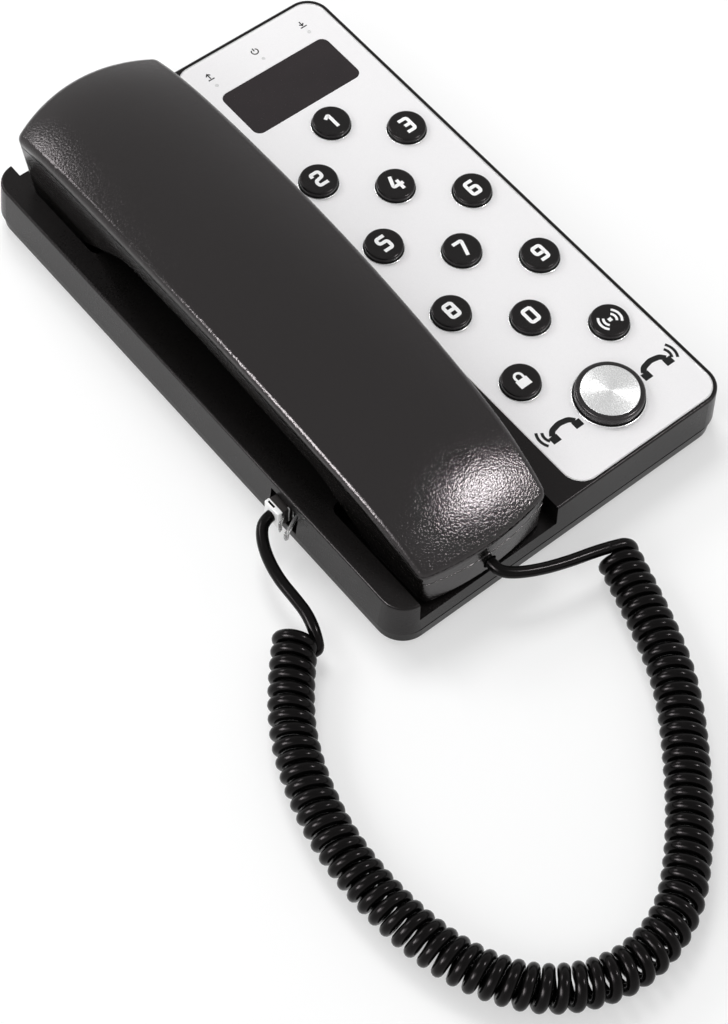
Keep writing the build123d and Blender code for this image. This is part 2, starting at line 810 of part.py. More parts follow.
def make_handset_jack():
    """The jack body behind the opening, with its cavity for the plug and the latch."""
    y_head = jack_y + plug_height / 2 + blade_height + jack_wall
    y_foot = jack_y - plug_height / 2 - latch_rise - jack_wall
    z_half = plug_width / 2 + jack_wall
    body = box(jack_face_x, jack_face_x + jack_depth, y_foot, y_head, jack_z - z_half, jack_z + z_half)
    x_back = plug_rear_x + plug_length + plug_fit
    body -= box(jack_face_x - 1.0, x_back, jack_y - plug_height / 2 - plug_fit,
                jack_y + plug_height / 2 + plug_fit, jack_z - plug_width / 2 - plug_fit,
                jack_z + plug_width / 2 + plug_fit)
    body -= box(jack_face_x - 1.0, x_back, jack_y - plug_height / 2 - latch_rise + 0.2,
                jack_y, jack_z - latch_width / 2 - 0.3, jack_z + latch_width / 2 + 0.3)
    body -= box(jack_face_x - 1.0, x_back, jack_y, jack_y + plug_height / 2 + blade_height,
                jack_z - contact_pitch * 2, jack_z + contact_pitch * 2)
    return body


def contact_levels():
    """Heights of the contacts, a pitch apart about the jack's axis."""
    first = jack_z - contact_pitch * (contact_count - 1) / 2
    return [first + number * contact_pitch for number in range(contact_count)]


def make_jack_contacts():
    """The spring wires along the cavity's head side, a hair from the plug's blades."""
    y_low = jack_y + plug_height / 2 + 0.15
    x_end = plug_rear_x + plug_length
    return [box(jack_face_x + 1.0, x_end + plug_fit, y_low, y_low + contact_width,
                z - contact_width / 2, z + contact_width / 2) for z in contact_levels()]


def plug_blade(z, clearance):
    """One blade, or its slot, in the head side of the plug near its nose."""
    x_end = plug_rear_x + plug_length - 1.0
    y_high = jack_y + plug_height / 2
    return box(x_end - blade_length - clearance, x_end + clearance, y_high - blade_height - clearance,
               y_high + clearance, z - 0.18 - clearance, z + 0.18 + clearance)


def make_plug_contacts():
    """The gilt blades of the plug."""
    return [plug_blade(z, 0.0) for z in contact_levels()]


def make_modular_plug():
    """The clear plug with its latch, seated in the jack."""
    body = box(plug_rear_x, plug_rear_x + plug_length, jack_y - plug_height / 2, jack_y + plug_height / 2,
               jack_z - plug_width / 2, jack_z + plug_width / 2)
    body -= [plug_blade(z, 0.03) for z in contact_levels()]
    step = box(plug_rear_x + 4.2, plug_rear_x + 5.4, jack_y - plug_height / 2 - 1.0,
               jack_y - plug_height / 2 + 1.2, jack_z - plug_width, jack_z + plug_width)
    body -= step
    y_face = jack_y - plug_height / 2
    x_nose = plug_rear_x + plug_length - 1.2
    x_tail = x_nose - latch_length
    lever = Polyline(
        (x_nose, y_face + 0.3),
        (x_nose, y_face),
        (x_nose - latch_length * 0.6, y_face - latch_rise * 0.6),
        (x_tail, y_face - latch_rise + 0.1),
        (x_tail, y_face - latch_rise + 0.1 + latch_thickness),
        (x_nose - latch_length * 0.6, y_face - latch_rise * 0.6 + latch_thickness),
        (x_nose - 1.4, y_face + 0.3),
        close=True,
    )
    latch = extrude(Pos(0, 0, jack_z - latch_width / 2) * make_face(lever), latch_width)
    return body + latch


# Handset

def outline_at(z, inset):
    """The handset's plan at a height: sides and ends a little bowed, corners rounded, foot leaning out below."""
    drop = handset_reference_z - z
    side = handset_taper_side * drop + inset
    head_half = handset_head_width / 2 - side
    middle_half = handset_middle_width / 2 - side
    foot_half = handset_foot_width / 2 - side
    head_y = handset_head_y - handset_taper_head * drop - inset
    foot_y = handset_foot_y + inset + handset_taper_foot * (z - foot_rim_z)
    head_corner_y = head_y - head_bow
    foot_corner_y = foot_y + foot_bow
    middle_y = (head_corner_y + foot_corner_y) / 2
    edges = [
        ThreePointArc((-head_half, head_corner_y), (0, head_y), (head_half, head_corner_y)),
        ThreePointArc((head_half, head_corner_y), (middle_half, middle_y), (foot_half, foot_corner_y)),
        ThreePointArc((foot_half, foot_corner_y), (0, foot_y), (-foot_half, foot_corner_y)),
        ThreePointArc((-foot_half, foot_corner_y), (-middle_half, middle_y), (-head_half, head_corner_y)),
    ]
    plan = make_face(edges)
    plan = fillet(plan.vertices(), handset_corner_radius - inset)
    return Pos(handset_x, 0, z) * plan


def handset_prism(inset):
    """The space inside the handset's side faces, which lean inward going down."""
    return loft([outline_at(handset_bottom - 2.0, inset), outline_at(60.0, inset)], ruled=True)


def crown_block(inset):
    """Everything under the crowned top surface, wider than the handset."""
    sections = []
    reach = handset_head_width / 2
    wide = reach + 4.0
    for (y, crease), crown in zip(crease_points, crown_heights):
        top_radius = (reach**2 + crown**2) / (2 * crown)
        apex = crease + crown - inset
        edge_z = apex - top_radius + math.sqrt(top_radius**2 - wide**2)
        plane = Plane(origin=(handset_x, y, 0), x_dir=(1, 0, 0), z_dir=(0, -1, 0))
        lines = [
            Line((-wide, 5.0), (wide, 5.0)),
            Line((wide, 5.0), (wide, edge_z)),
            ThreePointArc((wide, edge_z), (0, apex), (-wide, edge_z)),
            Line((-wide, edge_z), (-wide, 5.0)),
        ]
        sections.append(plane * make_face(lines))
    return loft(sections)


def seam_curve(lift):
    """The seam between the two shells, seen from the side."""
    return Spline(*[(y, crease - seam_drop + lift) for y, crease in crease_points])


def side_plane():
    """The plane of the handset's side views: Y across, Z up, seen from the keypad."""
    return Plane(origin=(handset_x - 40.0, 0, 0), x_dir=(0, 1, 0), z_dir=(1, 0, 0))


def above_seam():
    """The space over the seam."""
    curve = seam_curve(handset_seam_gap / 2)
    lines = [
        curve,
        Line(curve @ 1, ((curve @ 1).X, 70.0)),
        Line(((curve @ 1).X, 70.0), ((curve @ 0).X, 70.0)),
        Line(((curve @ 0).X, 70.0), curve @ 0),
    ]
    return extrude(side_plane() * make_face(lines), 80.0)


def under_block(inset):
    """The space under the seam and over the handset's underside: ear bowl, grip and mouth bowl."""
    low = handset_bottom + inset
    grip_z = crease_points[4][1] - grip_thickness + inset
    heel_z = crease_points[3][1] - grip_thickness + inset
    mouth_z = crease_points[6][1] - grip_thickness + inset
    far = crease_points[0][0]
    curve = seam_curve(-handset_seam_gap / 2)
    bottom = FilletPolyline(
        (far, low),
        (ear_toe_y + inset, low),
        (ear_heel_y + inset * 0.4, heel_z),
        (grip_middle_y, grip_z),
        (mouth_heel_y - inset * 0.4, mouth_z),
        (mouth_toe_y - inset, low),
        (-far, low),
        radius=[toe_radius, heel_radius, grip_bend_radius, heel_radius, toe_radius],
    )
    lines = [
        curve,
        Line(curve @ 1, (-far, low)),
        bottom,
        Line((far, low), curve @ 0),
    ]
    return extrude(side_plane() * make_face(lines), 80.0)


def outer_edges(faces):
    """The edges that belong to only one of the faces."""
    edges = [edge for face in faces for edge in face.edges()]
    middles = [edge.position_at(0.5) for edge in edges]
    return [
        edge
        for edge, middle in zip(edges, middles)
        if sum((other - middle).length < 0.001 for other in middles) == 1
    ]


def make_handset_top_shell():
    """The crowned upper shell of the handset."""
    outer = handset_prism(0.0) & crown_block(0.0)
    outer = fillet(outer.faces().sort_by(Axis.Z)[-1].edges(), crease_edge_radius)
    shell = outer & above_seam()
    shell -= handset_prism(handset_wall) & crown_block(handset_wall)
    for side in (-1, 1):
        place = (handset_x + side * handset_screw_offset_x, handset_screw_y)
        column = disc(place, handset_boss_radius, handset_screw_seat() + cup_wall, 60.0)
        shell += column & handset_prism(handset_wall / 2) & crown_block(handset_wall / 2)
        shell -= disc(place, board_screw_radius + screw_fit, handset_screw_seat(),
                      handset_screw_seat() + handset_screw_length + 0.5)
    return shell


def handset_screw_seat():
    """The level that the handset screws' heads bear on."""
    return handset_bottom + screw_head_sink + board_screw_head_height


def make_handset_bottom_shell():
    """The lower shell: ear bowl, grip and mouth bowl, with sound holes and screw cups."""
    shell = handset_prism(0.0) & under_block(0.0)
    underside = [face for face in shell.faces() if face.normal_at().Z < -0.2]
    shell = fillet(outer_edges(underside), under_edge_radius)
    shell -= handset_prism(handset_wall) & under_block(handset_wall)
    floor = handset_floor
    cup_radius = board_screw_head_radius + head_clearance + 0.9
    for side in (-1, 1):
        place = (handset_x + side * handset_screw_offset_x, handset_screw_y)
        shell += disc(place, cup_radius, handset_bottom, handset_screw_seat() + cup_wall)
        shell -= disc(place, board_screw_head_radius + head_clearance, handset_bottom - 1.0,
                      handset_screw_seat())
        shell -= disc(place, board_screw_radius + screw_fit, handset_bottom, floor + 5.0)
    turns = [math.radians(60 * number) for number in range(6)]
    ear_holes = [(handset_x + receiver_hole_circle * math.cos(turn),
                  receiver_y + receiver_hole_circle * math.sin(turn)) for turn in turns]
    ear_holes.append((handset_x, receiver_y))
    shell -= [disc(place, sound_hole_radius, handset_bottom - 1.0, floor + 1.0) for place in ear_holes]
    shell -= disc((handset_x + microphone_offset_x, microphone_y), sound_hole_radius,
                  handset_bottom - 1.0, floor + 1.0)
    shell -= lying_rod((handset_x, foot_wall_y - 2.0, cord_exit_z),
                       (handset_x, foot_wall_y + handset_wall + 1.0, cord_exit_z),
                       grommet_radius + screw_fit)
    return shell


def make_receiver():
    """The round earpiece capsule on the floor of the ear bowl."""
    top = handset_floor + receiver_height
    place = (handset_x, receiver_y)
    body = disc(place, receiver_radius, handset_floor, top)
    body = fillet(body.edges().group_by(Axis.Z)[-1], 1.0)
    return body - disc(place, receiver_radius * 0.45, top - 1.0, top + 1.0)


def make_microphone():
    """The microphone capsule on the floor of the mouth bowl."""
    place = (handset_x + microphone_offset_x, microphone_y)
    return disc(place, microphone_radius, handset_floor, handset_floor + microphone_height)


def make_handset_weight():
    """The steel bar on the floor of the grip, which gives the handset its heft."""
    low = crease_points[4][1] - grip_thickness + handset_wall + 0.1
    return box(handset_x - weight_width / 2, handset_x + weight_width / 2, weight_y - weight_length / 2,
               weight_y + weight_length / 2, low, low + weight_height)


def make_handset_screws():
    """The two screws in the floor of the mouth bowl."""
    return [make_screw((handset_x + side * handset_screw_offset_x, handset_screw_y), handset_screw_seat(),
                       handset_screw_length, board_screw_radius, board_screw_head_radius,
                       board_screw_head_height, True) for side in (-1, 1)]


def make_cord_grommet():
    """The strain relief in the handset's foot wall: collar, plate and tail."""
    y_wall = foot_wall_y + handset_wall + grommet_gap
    y_tail = y_wall + grommet_plate_thickness
    collar = lying_rod((handset_x, foot_wall_y + grommet_sink, cord_exit_z),
                       (handset_x, y_wall, cord_exit_z), grommet_radius)
    plate = box(handset_x - grommet_plate_width / 2, handset_x + grommet_plate_width / 2, y_wall, y_tail,
                handset_floor + grommet_gap, cord_exit_z + grommet_radius)
    tail = lying_rod((handset_x, y_tail, cord_exit_z),
                     (handset_x, y_tail + grommet_tail_length, cord_exit_z), grommet_radius * 0.8)
    return collar + plate + tail


# Curly cord

wire_radius = wire_diameter / 2
curl_radius = curl_outer_diameter / 2 - wire_radius
curl_axis_z = curl_outer_diameter / 2 + cord_floor_gap
curl_top_z = curl_axis_z + curl_radius

base_lead_route = (
    (plug_rear_x, jack_y, jack_z),
    (plug_rear_x - 4.6, jack_y, jack_z),
    (plug_rear_x - 9.8, jack_y - 5.4, 11.2),
    (plug_rear_x - 12.6, jack_y - 13.2, 10.6),
    (plug_rear_x - 13.0, jack_y - 20.6, 11.5),
    (plug_rear_x - 13.4, jack_y - 26.2, curl_top_z - 0.3),
)
handset_lead_route = (
    (plug_rear_x + 70.8, handset_foot_y - 16.6, curl_top_z),
    (plug_rear_x + 64.5, handset_foot_y - 15.2, curl_top_z + 0.2),
    (plug_rear_x + 56.4, handset_foot_y - 13.0, curl_top_z + 0.9),
    (handset_x + 8.8, handset_foot_y - 9.6, 14.7),
    (handset_x, handset_foot_y - 6.2, cord_exit_z),
    (handset_x, foot_wall_y + grommet_sink, cord_exit_z),
)

# The coil's middle line on the table, from the plug's rear end and the handset's foot wall
curl_offsets = (
    (-20.7, 17.1),
    (-33.7, 3.6),
    (-44.2, -15.4),
    (-50.4, -38.4),
    (-50.8, -63.4),
    (-45.8, -86.9),
    (-33.2, -105.9),
    (-12.7, -115.4),
    (8.8, -112.4),
    (26.8, -97.9),
    (42.3, -80.4),
    (57.3, -60.4),
    (66.2, -38.9),
    (72.2, -19.4),
)
curl_route = [(plug_rear_x + x, handset_foot_y + y) for x, y in curl_offsets]


def corner_radii(points):
    """The radius at each inner point of a route: as large as its two runs allow."""
    spots = [Vector(*point) for point in points]
    radii = []
    for before, here, after in zip(spots, spots[1:], spots[2:]):
        turn = (here - before).get_angle(after - here)
        shorter = min((here - before).length, (after - here).length)
        radii.append(radius_share * shorter / math.tan(math.radians(turn) / 2))
    return radii


def rounded_route(name, points):
    """Straight runs joined by tangent arcs, with its radii printed."""
    radii = corner_radii(points)
    print(name, "radii", [round(radius, 1) for radius in radii])
    return FilletPolyline(*points, radius=radii)


def at_length(axis, distance):
    """Point and direction at a distance along the axis."""
    return (axis.position_at(distance, position_mode=PositionMode.LENGTH),
            axis.tangent_at(distance, position_mode=PositionMode.LENGTH))


def curl_stations(axis):
    """Places along the axis, one for each half turn, evenly spaced on the inside of its bends."""
    steps = 1200
    step = axis.length / steps
    travelled = [0.0]
    before = at_length(axis, 0.0)[1]
    for number in range(1, steps + 1):
        here = at_length(axis, number * step)[1]
        travelled.append(travelled[-1] + step - curl_radius * math.radians(before.get_angle(here)))
        before = here
    stations = []
    number = 0
    for half_turn in range(2 * whole_turns):
        goal = travelled[-1] * half_turn / (2 * whole_turns)
        while travelled[number + 1] < goal:
            number += 1
        share = (goal - travelled[number]) / (travelled[number + 1] - travelled[number])
        stations.append((number + share) * step)
    return stations + [axis.length]


def curl_point(axis, stations, half_turn):
    """A point of the wire: it starts at the bottom, rises on the right and crosses the top leftward."""
    whole = min(int(half_turn), len(stations) - 2)
    share = half_turn - whole
    distance = stations[whole] * (1 - share) + stations[whole + 1] * share
    middle, forward = at_length(axis, distance)
    left = Vector(-forward.Y, forward.X, 0)
    angle = -math.pi / 2 - math.pi * half_turn
    return middle + left * (curl_radius * math.cos(angle)) + Vector(0, 0, curl_radius * math.sin(angle))


def curl_tangent(axis, stations, half_turn):
    """The wire's direction at a half turn."""
    low = max(half_turn - 0.01, 0.0)
    high = min(half_turn + 0.01, len(stations) - 1.0)
    return (curl_point(axis, stations, high) - curl_point(axis, stations, low)).normalized()


def biarc(start, start_direction, end, end_direction):
    """Two tangent arcs from one point and direction to another."""
    chord = end - start
    both = start_direction + end_direction
    closing = 2 * (1 - start_direction.dot(end_direction))
    along = chord.dot(both)
    reach = (-along + math.sqrt(along**2 + closing * chord.dot(chord))) / closing
    join = (start + end + (start_direction - end_direction) * reach) / 2
    join_direction = (end - end_direction * reach - start - start_direction * reach).normalized()
    return [
        TangentArc(start, join, tangent=start_direction),
        TangentArc(join, end, tangent=join_direction),
    ]


def wire_along(name, path):
    """A round wire along a path, with its volume printed beside its section times its length."""
    section = Plane(origin=path @ 0, z_dir=path % 0) * Circle(wire_radius)
    solid = sweep(section, path=path)
    expected = math.pi * wire_radius**2 * path.length
    print(name, "length", round(path.length, 1), "volume", round(solid.volume, 1),
          "expected", round(expected, 1))
    return solid


def print_least_gap(path):
    """Print the least space between neighbouring turns, measured on points of the middle line."""
    per_turn = 24
    count = int((whole_turns + 1) * per_turn)
    points = [path.position_at(number / count) for number in range(count + 1)]
    least = min(
        (points[number] - points[other]).length
        for number in range(len(points))
        for other in range(number + per_turn // 2, min(number + 3 * per_turn, len(points)))
    )
    print("curls least gap", round(least - wire_diameter, 3))


def make_cord_curls():
    """The coiled stretch: one unbroken wire of half-turn biarcs with straight ends."""
    axis = rounded_route("curl axis", [(x, y, curl_axis_z) for x, y in curl_route])
    stations = curl_stations(axis)
    spots = [curl_point(axis, stations, float(number)) for number in range(len(stations))]
    directions = [curl_tangent(axis, stations, float(number)) for number in range(len(stations))]
    lead_in, entry = Vector(*base_lead_route[-2]), Vector(*base_lead_route[-1])
    exit_spot, lead_out = Vector(*handset_lead_route[0]), Vector(*handset_lead_route[1])
    entry_direction = (entry - lead_in).normalized()
    exit_direction = (lead_out - exit_spot).normalized()
    first = entry + entry_direction * wire_diameter
    last = exit_spot - exit_direction * wire_diameter
    spots = [first] + spots + [last]
    directions = [entry_direction] + directions + [exit_direction]
    edges = [Line(entry, first)]
    for number in range(len(spots) - 1):
        edges += biarc(spots[number], directions[number], spots[number + 1], directions[number + 1])
    edges.append(Line(last, exit_spot))
    path = Wire(edges)
    print_least_gap(path)
    return wire_along("curls", path)


def make_cord_base_lead():
    """The stretch from the plug to the first curl."""
    return wire_along("base lead", rounded_route("base lead", base_lead_route))


def make_cord_handset_lead():
    """The stretch from the last curl to the handset."""
    return wire_along("handset lead", rounded_route("handset lead", handset_lead_route))


nodes = {
    "upper_housing": make_upper_housing(),
    "lower_cover": make_lower_cover(),
    "rubber_feet": make_rubber_feet(),
    "cover_screws": make_cover_screws(),
    "board_screws": make_board_screws(),
    "faceplate": make_faceplate(),
    "display_window": make_display_window(),
    "display_module": make_display_module(),
    "status_lamps": make_status_lamps(),
    "light_pipes": make_light_pipes(),
    "call_button": make_call_button(),
    "call_button_cap": make_call_cap(),
    "keypad_board": make_keypad_board(),
    "key_switches": make_key_switches(),
    "main_board": make_main_board(),
    "radio_module": make_radio_module(),
    "main_chips": make_main_chips(),
    "antenna": make_antenna(),
    "power_inlet": make_power_inlet(),
    "speaker_frame": make_speaker_frame(),
    "speaker_cone": make_speaker_cone(),
    "speaker_magnet": make_speaker_magnet(),
    "hook_board": make_hook_board(),
    "hook_switch": make_hook_switch(),
    "hook_plunger": make_hook_plunger(),
    "handset_jack": make_handset_jack(),
    "jack_contacts": make_jack_contacts(),
    "modular_plug": make_modular_plug(),
    "plug_contacts": make_plug_contacts(),
    "handset_top_shell": make_handset_top_shell(),
    "handset_bottom_shell": make_handset_bottom_shell(),
    "receiver_capsule": make_receiver(),
    "microphone_capsule": make_microphone(),
    "handset_weight": make_handset_weight(),
    "handset_screws": make_handset_screws(),
    "cord_grommet": make_cord_grommet(),
    "cord_base_lead": make_cord_base_lead(),
    "cord_curls": make_cord_curls(),
    "cord_handset_lead": make_cord_handset_lead(),
}
for key_name, key_spot in key_places.items():
    nodes[key_name] = make_key(key_spot)

os.makedirs("parts", exist_ok=True)
for name, piece in nodes.items():
    shape = Compound(children=piece) if isinstance(piece, list) else piece
    export_step(shape, f"parts/{name}.step")
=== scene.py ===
import bpy
import bmesh
import json
import math
from mathutils import Matrix, Vector


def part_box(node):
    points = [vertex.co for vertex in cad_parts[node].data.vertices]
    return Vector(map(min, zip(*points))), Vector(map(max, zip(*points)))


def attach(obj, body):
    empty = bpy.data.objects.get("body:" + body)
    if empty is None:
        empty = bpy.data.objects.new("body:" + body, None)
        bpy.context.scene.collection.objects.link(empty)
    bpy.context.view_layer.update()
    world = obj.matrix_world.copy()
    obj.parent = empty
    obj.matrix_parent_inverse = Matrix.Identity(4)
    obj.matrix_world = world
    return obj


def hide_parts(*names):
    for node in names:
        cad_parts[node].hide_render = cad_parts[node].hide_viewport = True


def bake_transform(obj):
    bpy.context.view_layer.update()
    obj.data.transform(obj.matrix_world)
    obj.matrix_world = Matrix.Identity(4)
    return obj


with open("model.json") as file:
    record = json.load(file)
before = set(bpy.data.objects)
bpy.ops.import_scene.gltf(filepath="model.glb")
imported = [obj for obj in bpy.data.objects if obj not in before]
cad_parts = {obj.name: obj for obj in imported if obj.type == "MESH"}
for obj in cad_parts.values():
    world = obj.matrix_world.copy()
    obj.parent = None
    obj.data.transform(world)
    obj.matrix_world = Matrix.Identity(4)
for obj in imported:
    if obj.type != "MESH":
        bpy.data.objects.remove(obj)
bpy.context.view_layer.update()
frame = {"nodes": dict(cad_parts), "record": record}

# Desk intercom: base with keypad and cradle, handset and curly cord. Metres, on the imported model's frame.
MM = 0.001


# Camera, at the photograph's viewing angle

CAMERA_PLACE = Vector((-0.3005, -0.3264, 0.6127))
CAMERA_AIM = Vector((-0.0416, -0.0576, 0.0))
CAMERA_ROLL = 5.23
SENSOR_WIDTH = 36.0
FOCAL_LENGTH = 84.44


def facing(place, aim):
    """The matrix of a camera or lamp at a place that looks at another."""
    turn = (aim - place).to_track_quat("-Z", "Y").to_matrix().to_4x4()
    return Matrix.Translation(place) @ turn


def make_camera():
    """The camera at the photograph's place, turned about its own axis as there."""
    data = bpy.data.cameras.new("camera")
    data.sensor_width = SENSOR_WIDTH
    data.lens = FOCAL_LENGTH
    camera = bpy.data.objects.new("camera", data)
    roll = Matrix.Rotation(math.radians(CAMERA_ROLL), 4, "Z")
    camera.matrix_world = facing(CAMERA_PLACE, CAMERA_AIM) @ roll
    bpy.context.scene.collection.objects.link(camera)
    bpy.context.scene.camera = camera


make_camera()


# Mesh helpers

def add_object(name, mesh, material=None, smooth=True):
    """Links a mesh as an object, with its material and shading."""
    piece = bpy.data.objects.new(name, mesh)
    bpy.context.scene.collection.objects.link(piece)
    if material:
        mesh.materials.append(material)
    for face in mesh.polygons:
        face.use_smooth = smooth
    return piece


def mesh_of(name, points, faces):
    """A mesh from points and faces, with its normals outward."""
    mesh = bpy.data.meshes.new(name)
    mesh.from_pydata([tuple(point) for point in points], [], faces)
    work = bmesh.new()
    work.from_mesh(mesh)
    bmesh.ops.recalc_face_normals(work, faces=work.faces)
    work.to_mesh(mesh)
    work.free()
    return mesh


def spline_line(route, steps):
    """Points read along the route's own smooth line."""
    curve = bpy.data.curves.new("route", "CURVE")
    curve.dimensions = "3D"
    curve.resolution_u = steps
    spline = curve.splines.new("NURBS")
    spline.points.add(len(route) - 1)
    for point, place in zip(spline.points, route):
        point.co = (*place, 1.0)
    spline.order_u = 3
    spline.use_endpoint_u = True
    holder = bpy.data.objects.new("route", curve)
    mesh = bpy.data.meshes.new_from_object(holder)
    line = [vertex.co.copy() for vertex in mesh.vertices]
    bpy.data.objects.remove(holder)
    bpy.data.curves.remove(curve)
    bpy.data.meshes.remove(mesh)
    return line


END_TIP_SHARE = 0.25


def tube_mesh(name, line, radius, sides):
    """A round tube along a line, closed by a low cone at each end."""
    points = []
    faces = []
    forward = (line[1] - line[0]).normalized()
    across = forward.orthogonal().normalized()
    for number, centre in enumerate(line):
        before = line[max(number - 1, 0)]
        after = line[min(number + 1, len(line) - 1)]
        heading = (after - before).normalized()
        across = (forward.rotation_difference(heading) @ across).normalized()
        across = (across - heading * across.dot(heading)).normalized()
        forward = heading
        up = forward.cross(across)
        for side in range(sides):
            turn = math.tau * side / sides
            points.append(centre + (across * math.cos(turn) + up * math.sin(turn)) * radius)
    for ring in range(len(line) - 1):
        for side in range(sides):
            near = ring * sides + side
            far = ring * sides + (side + 1) % sides
            faces.append((near, far, far + sides, near + sides))
    for ring, step in ((0, line[0] - line[1]), (len(line) - 1, line[-1] - line[-2])):
        tip = len(points)
        points.append(line[ring] + step.normalized() * radius * END_TIP_SHARE)
        for side in range(sides):
            faces.append((ring * sides + side, ring * sides + (side + 1) % sides, tip))
    return mesh_of(name, points, faces)


# Cord: one wire from the plug through the curls to the handset, close to the routes in the part's source

WIRE_DIAMETER = 3.7 * MM
CURL_RADIUS = 5.0 * MM
CURL_AXIS_Z = 7.1 * MM
CURL_TURNS = 70
FIRST_TURN = 0.06
LAST_TURN = CURL_TURNS + 0.44
POINTS_PER_TURN = 24
AXIS_STEPS = 60
STEPS_PER_POINT = 12
WIRE_SIDES = 14
base_lead_route = [
    (-0.0678, -0.0470, 0.0120),
    (-0.0716, -0.0471, 0.0120),
    (-0.0752, -0.0505, 0.0117),
    (-0.0782, -0.0568, 0.0113),
    (-0.0800, -0.0648, 0.0111),
    (-0.0803, -0.0726, 0.0111),
    (-0.0808, -0.0790, 0.0112),
    (-0.0824, -0.0848, 0.0098),
    (-0.0842, -0.0890, 0.0056),
]
curl_route = [
    (-0.0868, -0.0812, CURL_AXIS_Z),
    (-0.1015, -0.0960, CURL_AXIS_Z),
    (-0.1120, -0.1150, CURL_AXIS_Z),
    (-0.1182, -0.1380, CURL_AXIS_Z),
    (-0.1186, -0.1630, CURL_AXIS_Z),
    (-0.1136, -0.1865, CURL_AXIS_Z),
    (-0.1010, -0.2055, CURL_AXIS_Z),
    (-0.0805, -0.2150, CURL_AXIS_Z),
    (-0.0590, -0.2120, CURL_AXIS_Z),
    (-0.0410, -0.1975, CURL_AXIS_Z),
    (-0.0255, -0.1800, CURL_AXIS_Z),
    (-0.0105, -0.1600, CURL_AXIS_Z),
    (-0.0016, -0.1385, CURL_AXIS_Z),
    (0.0044, -0.1190, CURL_AXIS_Z),
]
handset_lead_route = [
    (-0.0010, -0.1151, 0.0124),
    (-0.0100, -0.1131, 0.0133),
    (-0.0186, -0.1107, 0.0145),
    (-0.0262, -0.1076, 0.0159),
    (-0.0304, -0.1046, 0.0169),
    (-0.03075, -0.1014, 0.01705),
    (-0.03075, -0.0990, 0.01705),
]


def curl_line(axis, first_turn, last_turn):
    """The helix round an axis line, its turns evenly spaced on the inside of the bends."""
    travelled = [0.0]
    headings = [(after - before).normalized() for before, after in zip(axis, axis[1:])]
    for number in range(1, len(axis)):
        step = (axis[number] - axis[number - 1]).length
        bend = headings[number - 1].angle(headings[number - 2]) if number > 1 else 0.0
        travelled.append(travelled[-1] + step - CURL_RADIUS * bend)
    line = []
    spot = 1
    for count in range(round(first_turn * POINTS_PER_TURN), round(last_turn * POINTS_PER_TURN) + 1):
        turn = count / POINTS_PER_TURN
        goal = travelled[-1] * turn / CURL_TURNS
        while spot < len(axis) - 1 and travelled[spot] < goal:
            spot += 1
        share = (goal - travelled[spot - 1]) / (travelled[spot] - travelled[spot - 1])
        middle = axis[spot - 1].lerp(axis[spot], share)
        forward = headings[spot - 1]
        left = Vector((-forward.y, forward.x, 0.0))
        angle = -math.pi / 2 - math.tau * turn
        line.append(middle + left * (CURL_RADIUS * math.cos(angle))
                    + Vector((0.0, 0.0, CURL_RADIUS * math.sin(angle))))
    return line


def make_cord(material):
    """The cord in two pieces that meet at the coil's end: lead with curls, and the handset's lead.

    The wire is read finely in the leads, and twice for each point of the helix in the curls."""
    axis = spline_line(curl_route, AXIS_STEPS)
    helix = curl_line(axis, FIRST_TURN, LAST_TURN)
    fine = spline_line(base_lead_route + helix + handset_lead_route, STEPS_PER_POINT)
    first = STEPS_PER_POINT * len(base_lead_route)
    last = STEPS_PER_POINT * (len(base_lead_route) + len(helix) - 3)
    wire = fine[:first] + fine[first:last:STEPS_PER_POINT // 2] + fine[last:]
    meeting = len(wire) - STEPS_PER_POINT * (len(handset_lead_route) - 1)
    coil_line = wire[:meeting + 1]
    lead_line = wire[meeting:]
    radius = WIRE_DIAMETER / 2
    coil = add_object("cord_coil", tube_mesh("cord_coil", coil_line, radius, WIRE_SIDES), material)
    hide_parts("cord_base_lead", "cord_curls")
    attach(coil, "base")
    tube = tube_mesh("cord_handset_end", lead_line, radius, WIRE_SIDES)
    lead = add_object("cord_handset_end", tube, material)
    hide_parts("cord_handset_lead")
    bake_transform(lead)


# Shader maths

class Channel:
    """One socket of a material's nodes, so that shader maths is written as plain sums."""

    def __init__(self, finish, socket):
        self.finish = finish
        self.socket = socket

    def maths(self, operation, first, second):
        return self.finish.node("Math", {"operation": operation}, {0: first, 1: second})

    def __add__(self, other):
        return self.maths("ADD", self, other)

    def __radd__(self, other):
        return self.maths("ADD", other, self)

    def __sub__(self, other):
        return self.maths("SUBTRACT", self, other)

    def __rsub__(self, other):
        return self.maths("SUBTRACT", other, self)

    def __mul__(self, other):
        return self.maths("MULTIPLY", self, other)

    def __rmul__(self, other):
        return self.maths("MULTIPLY", other, self)


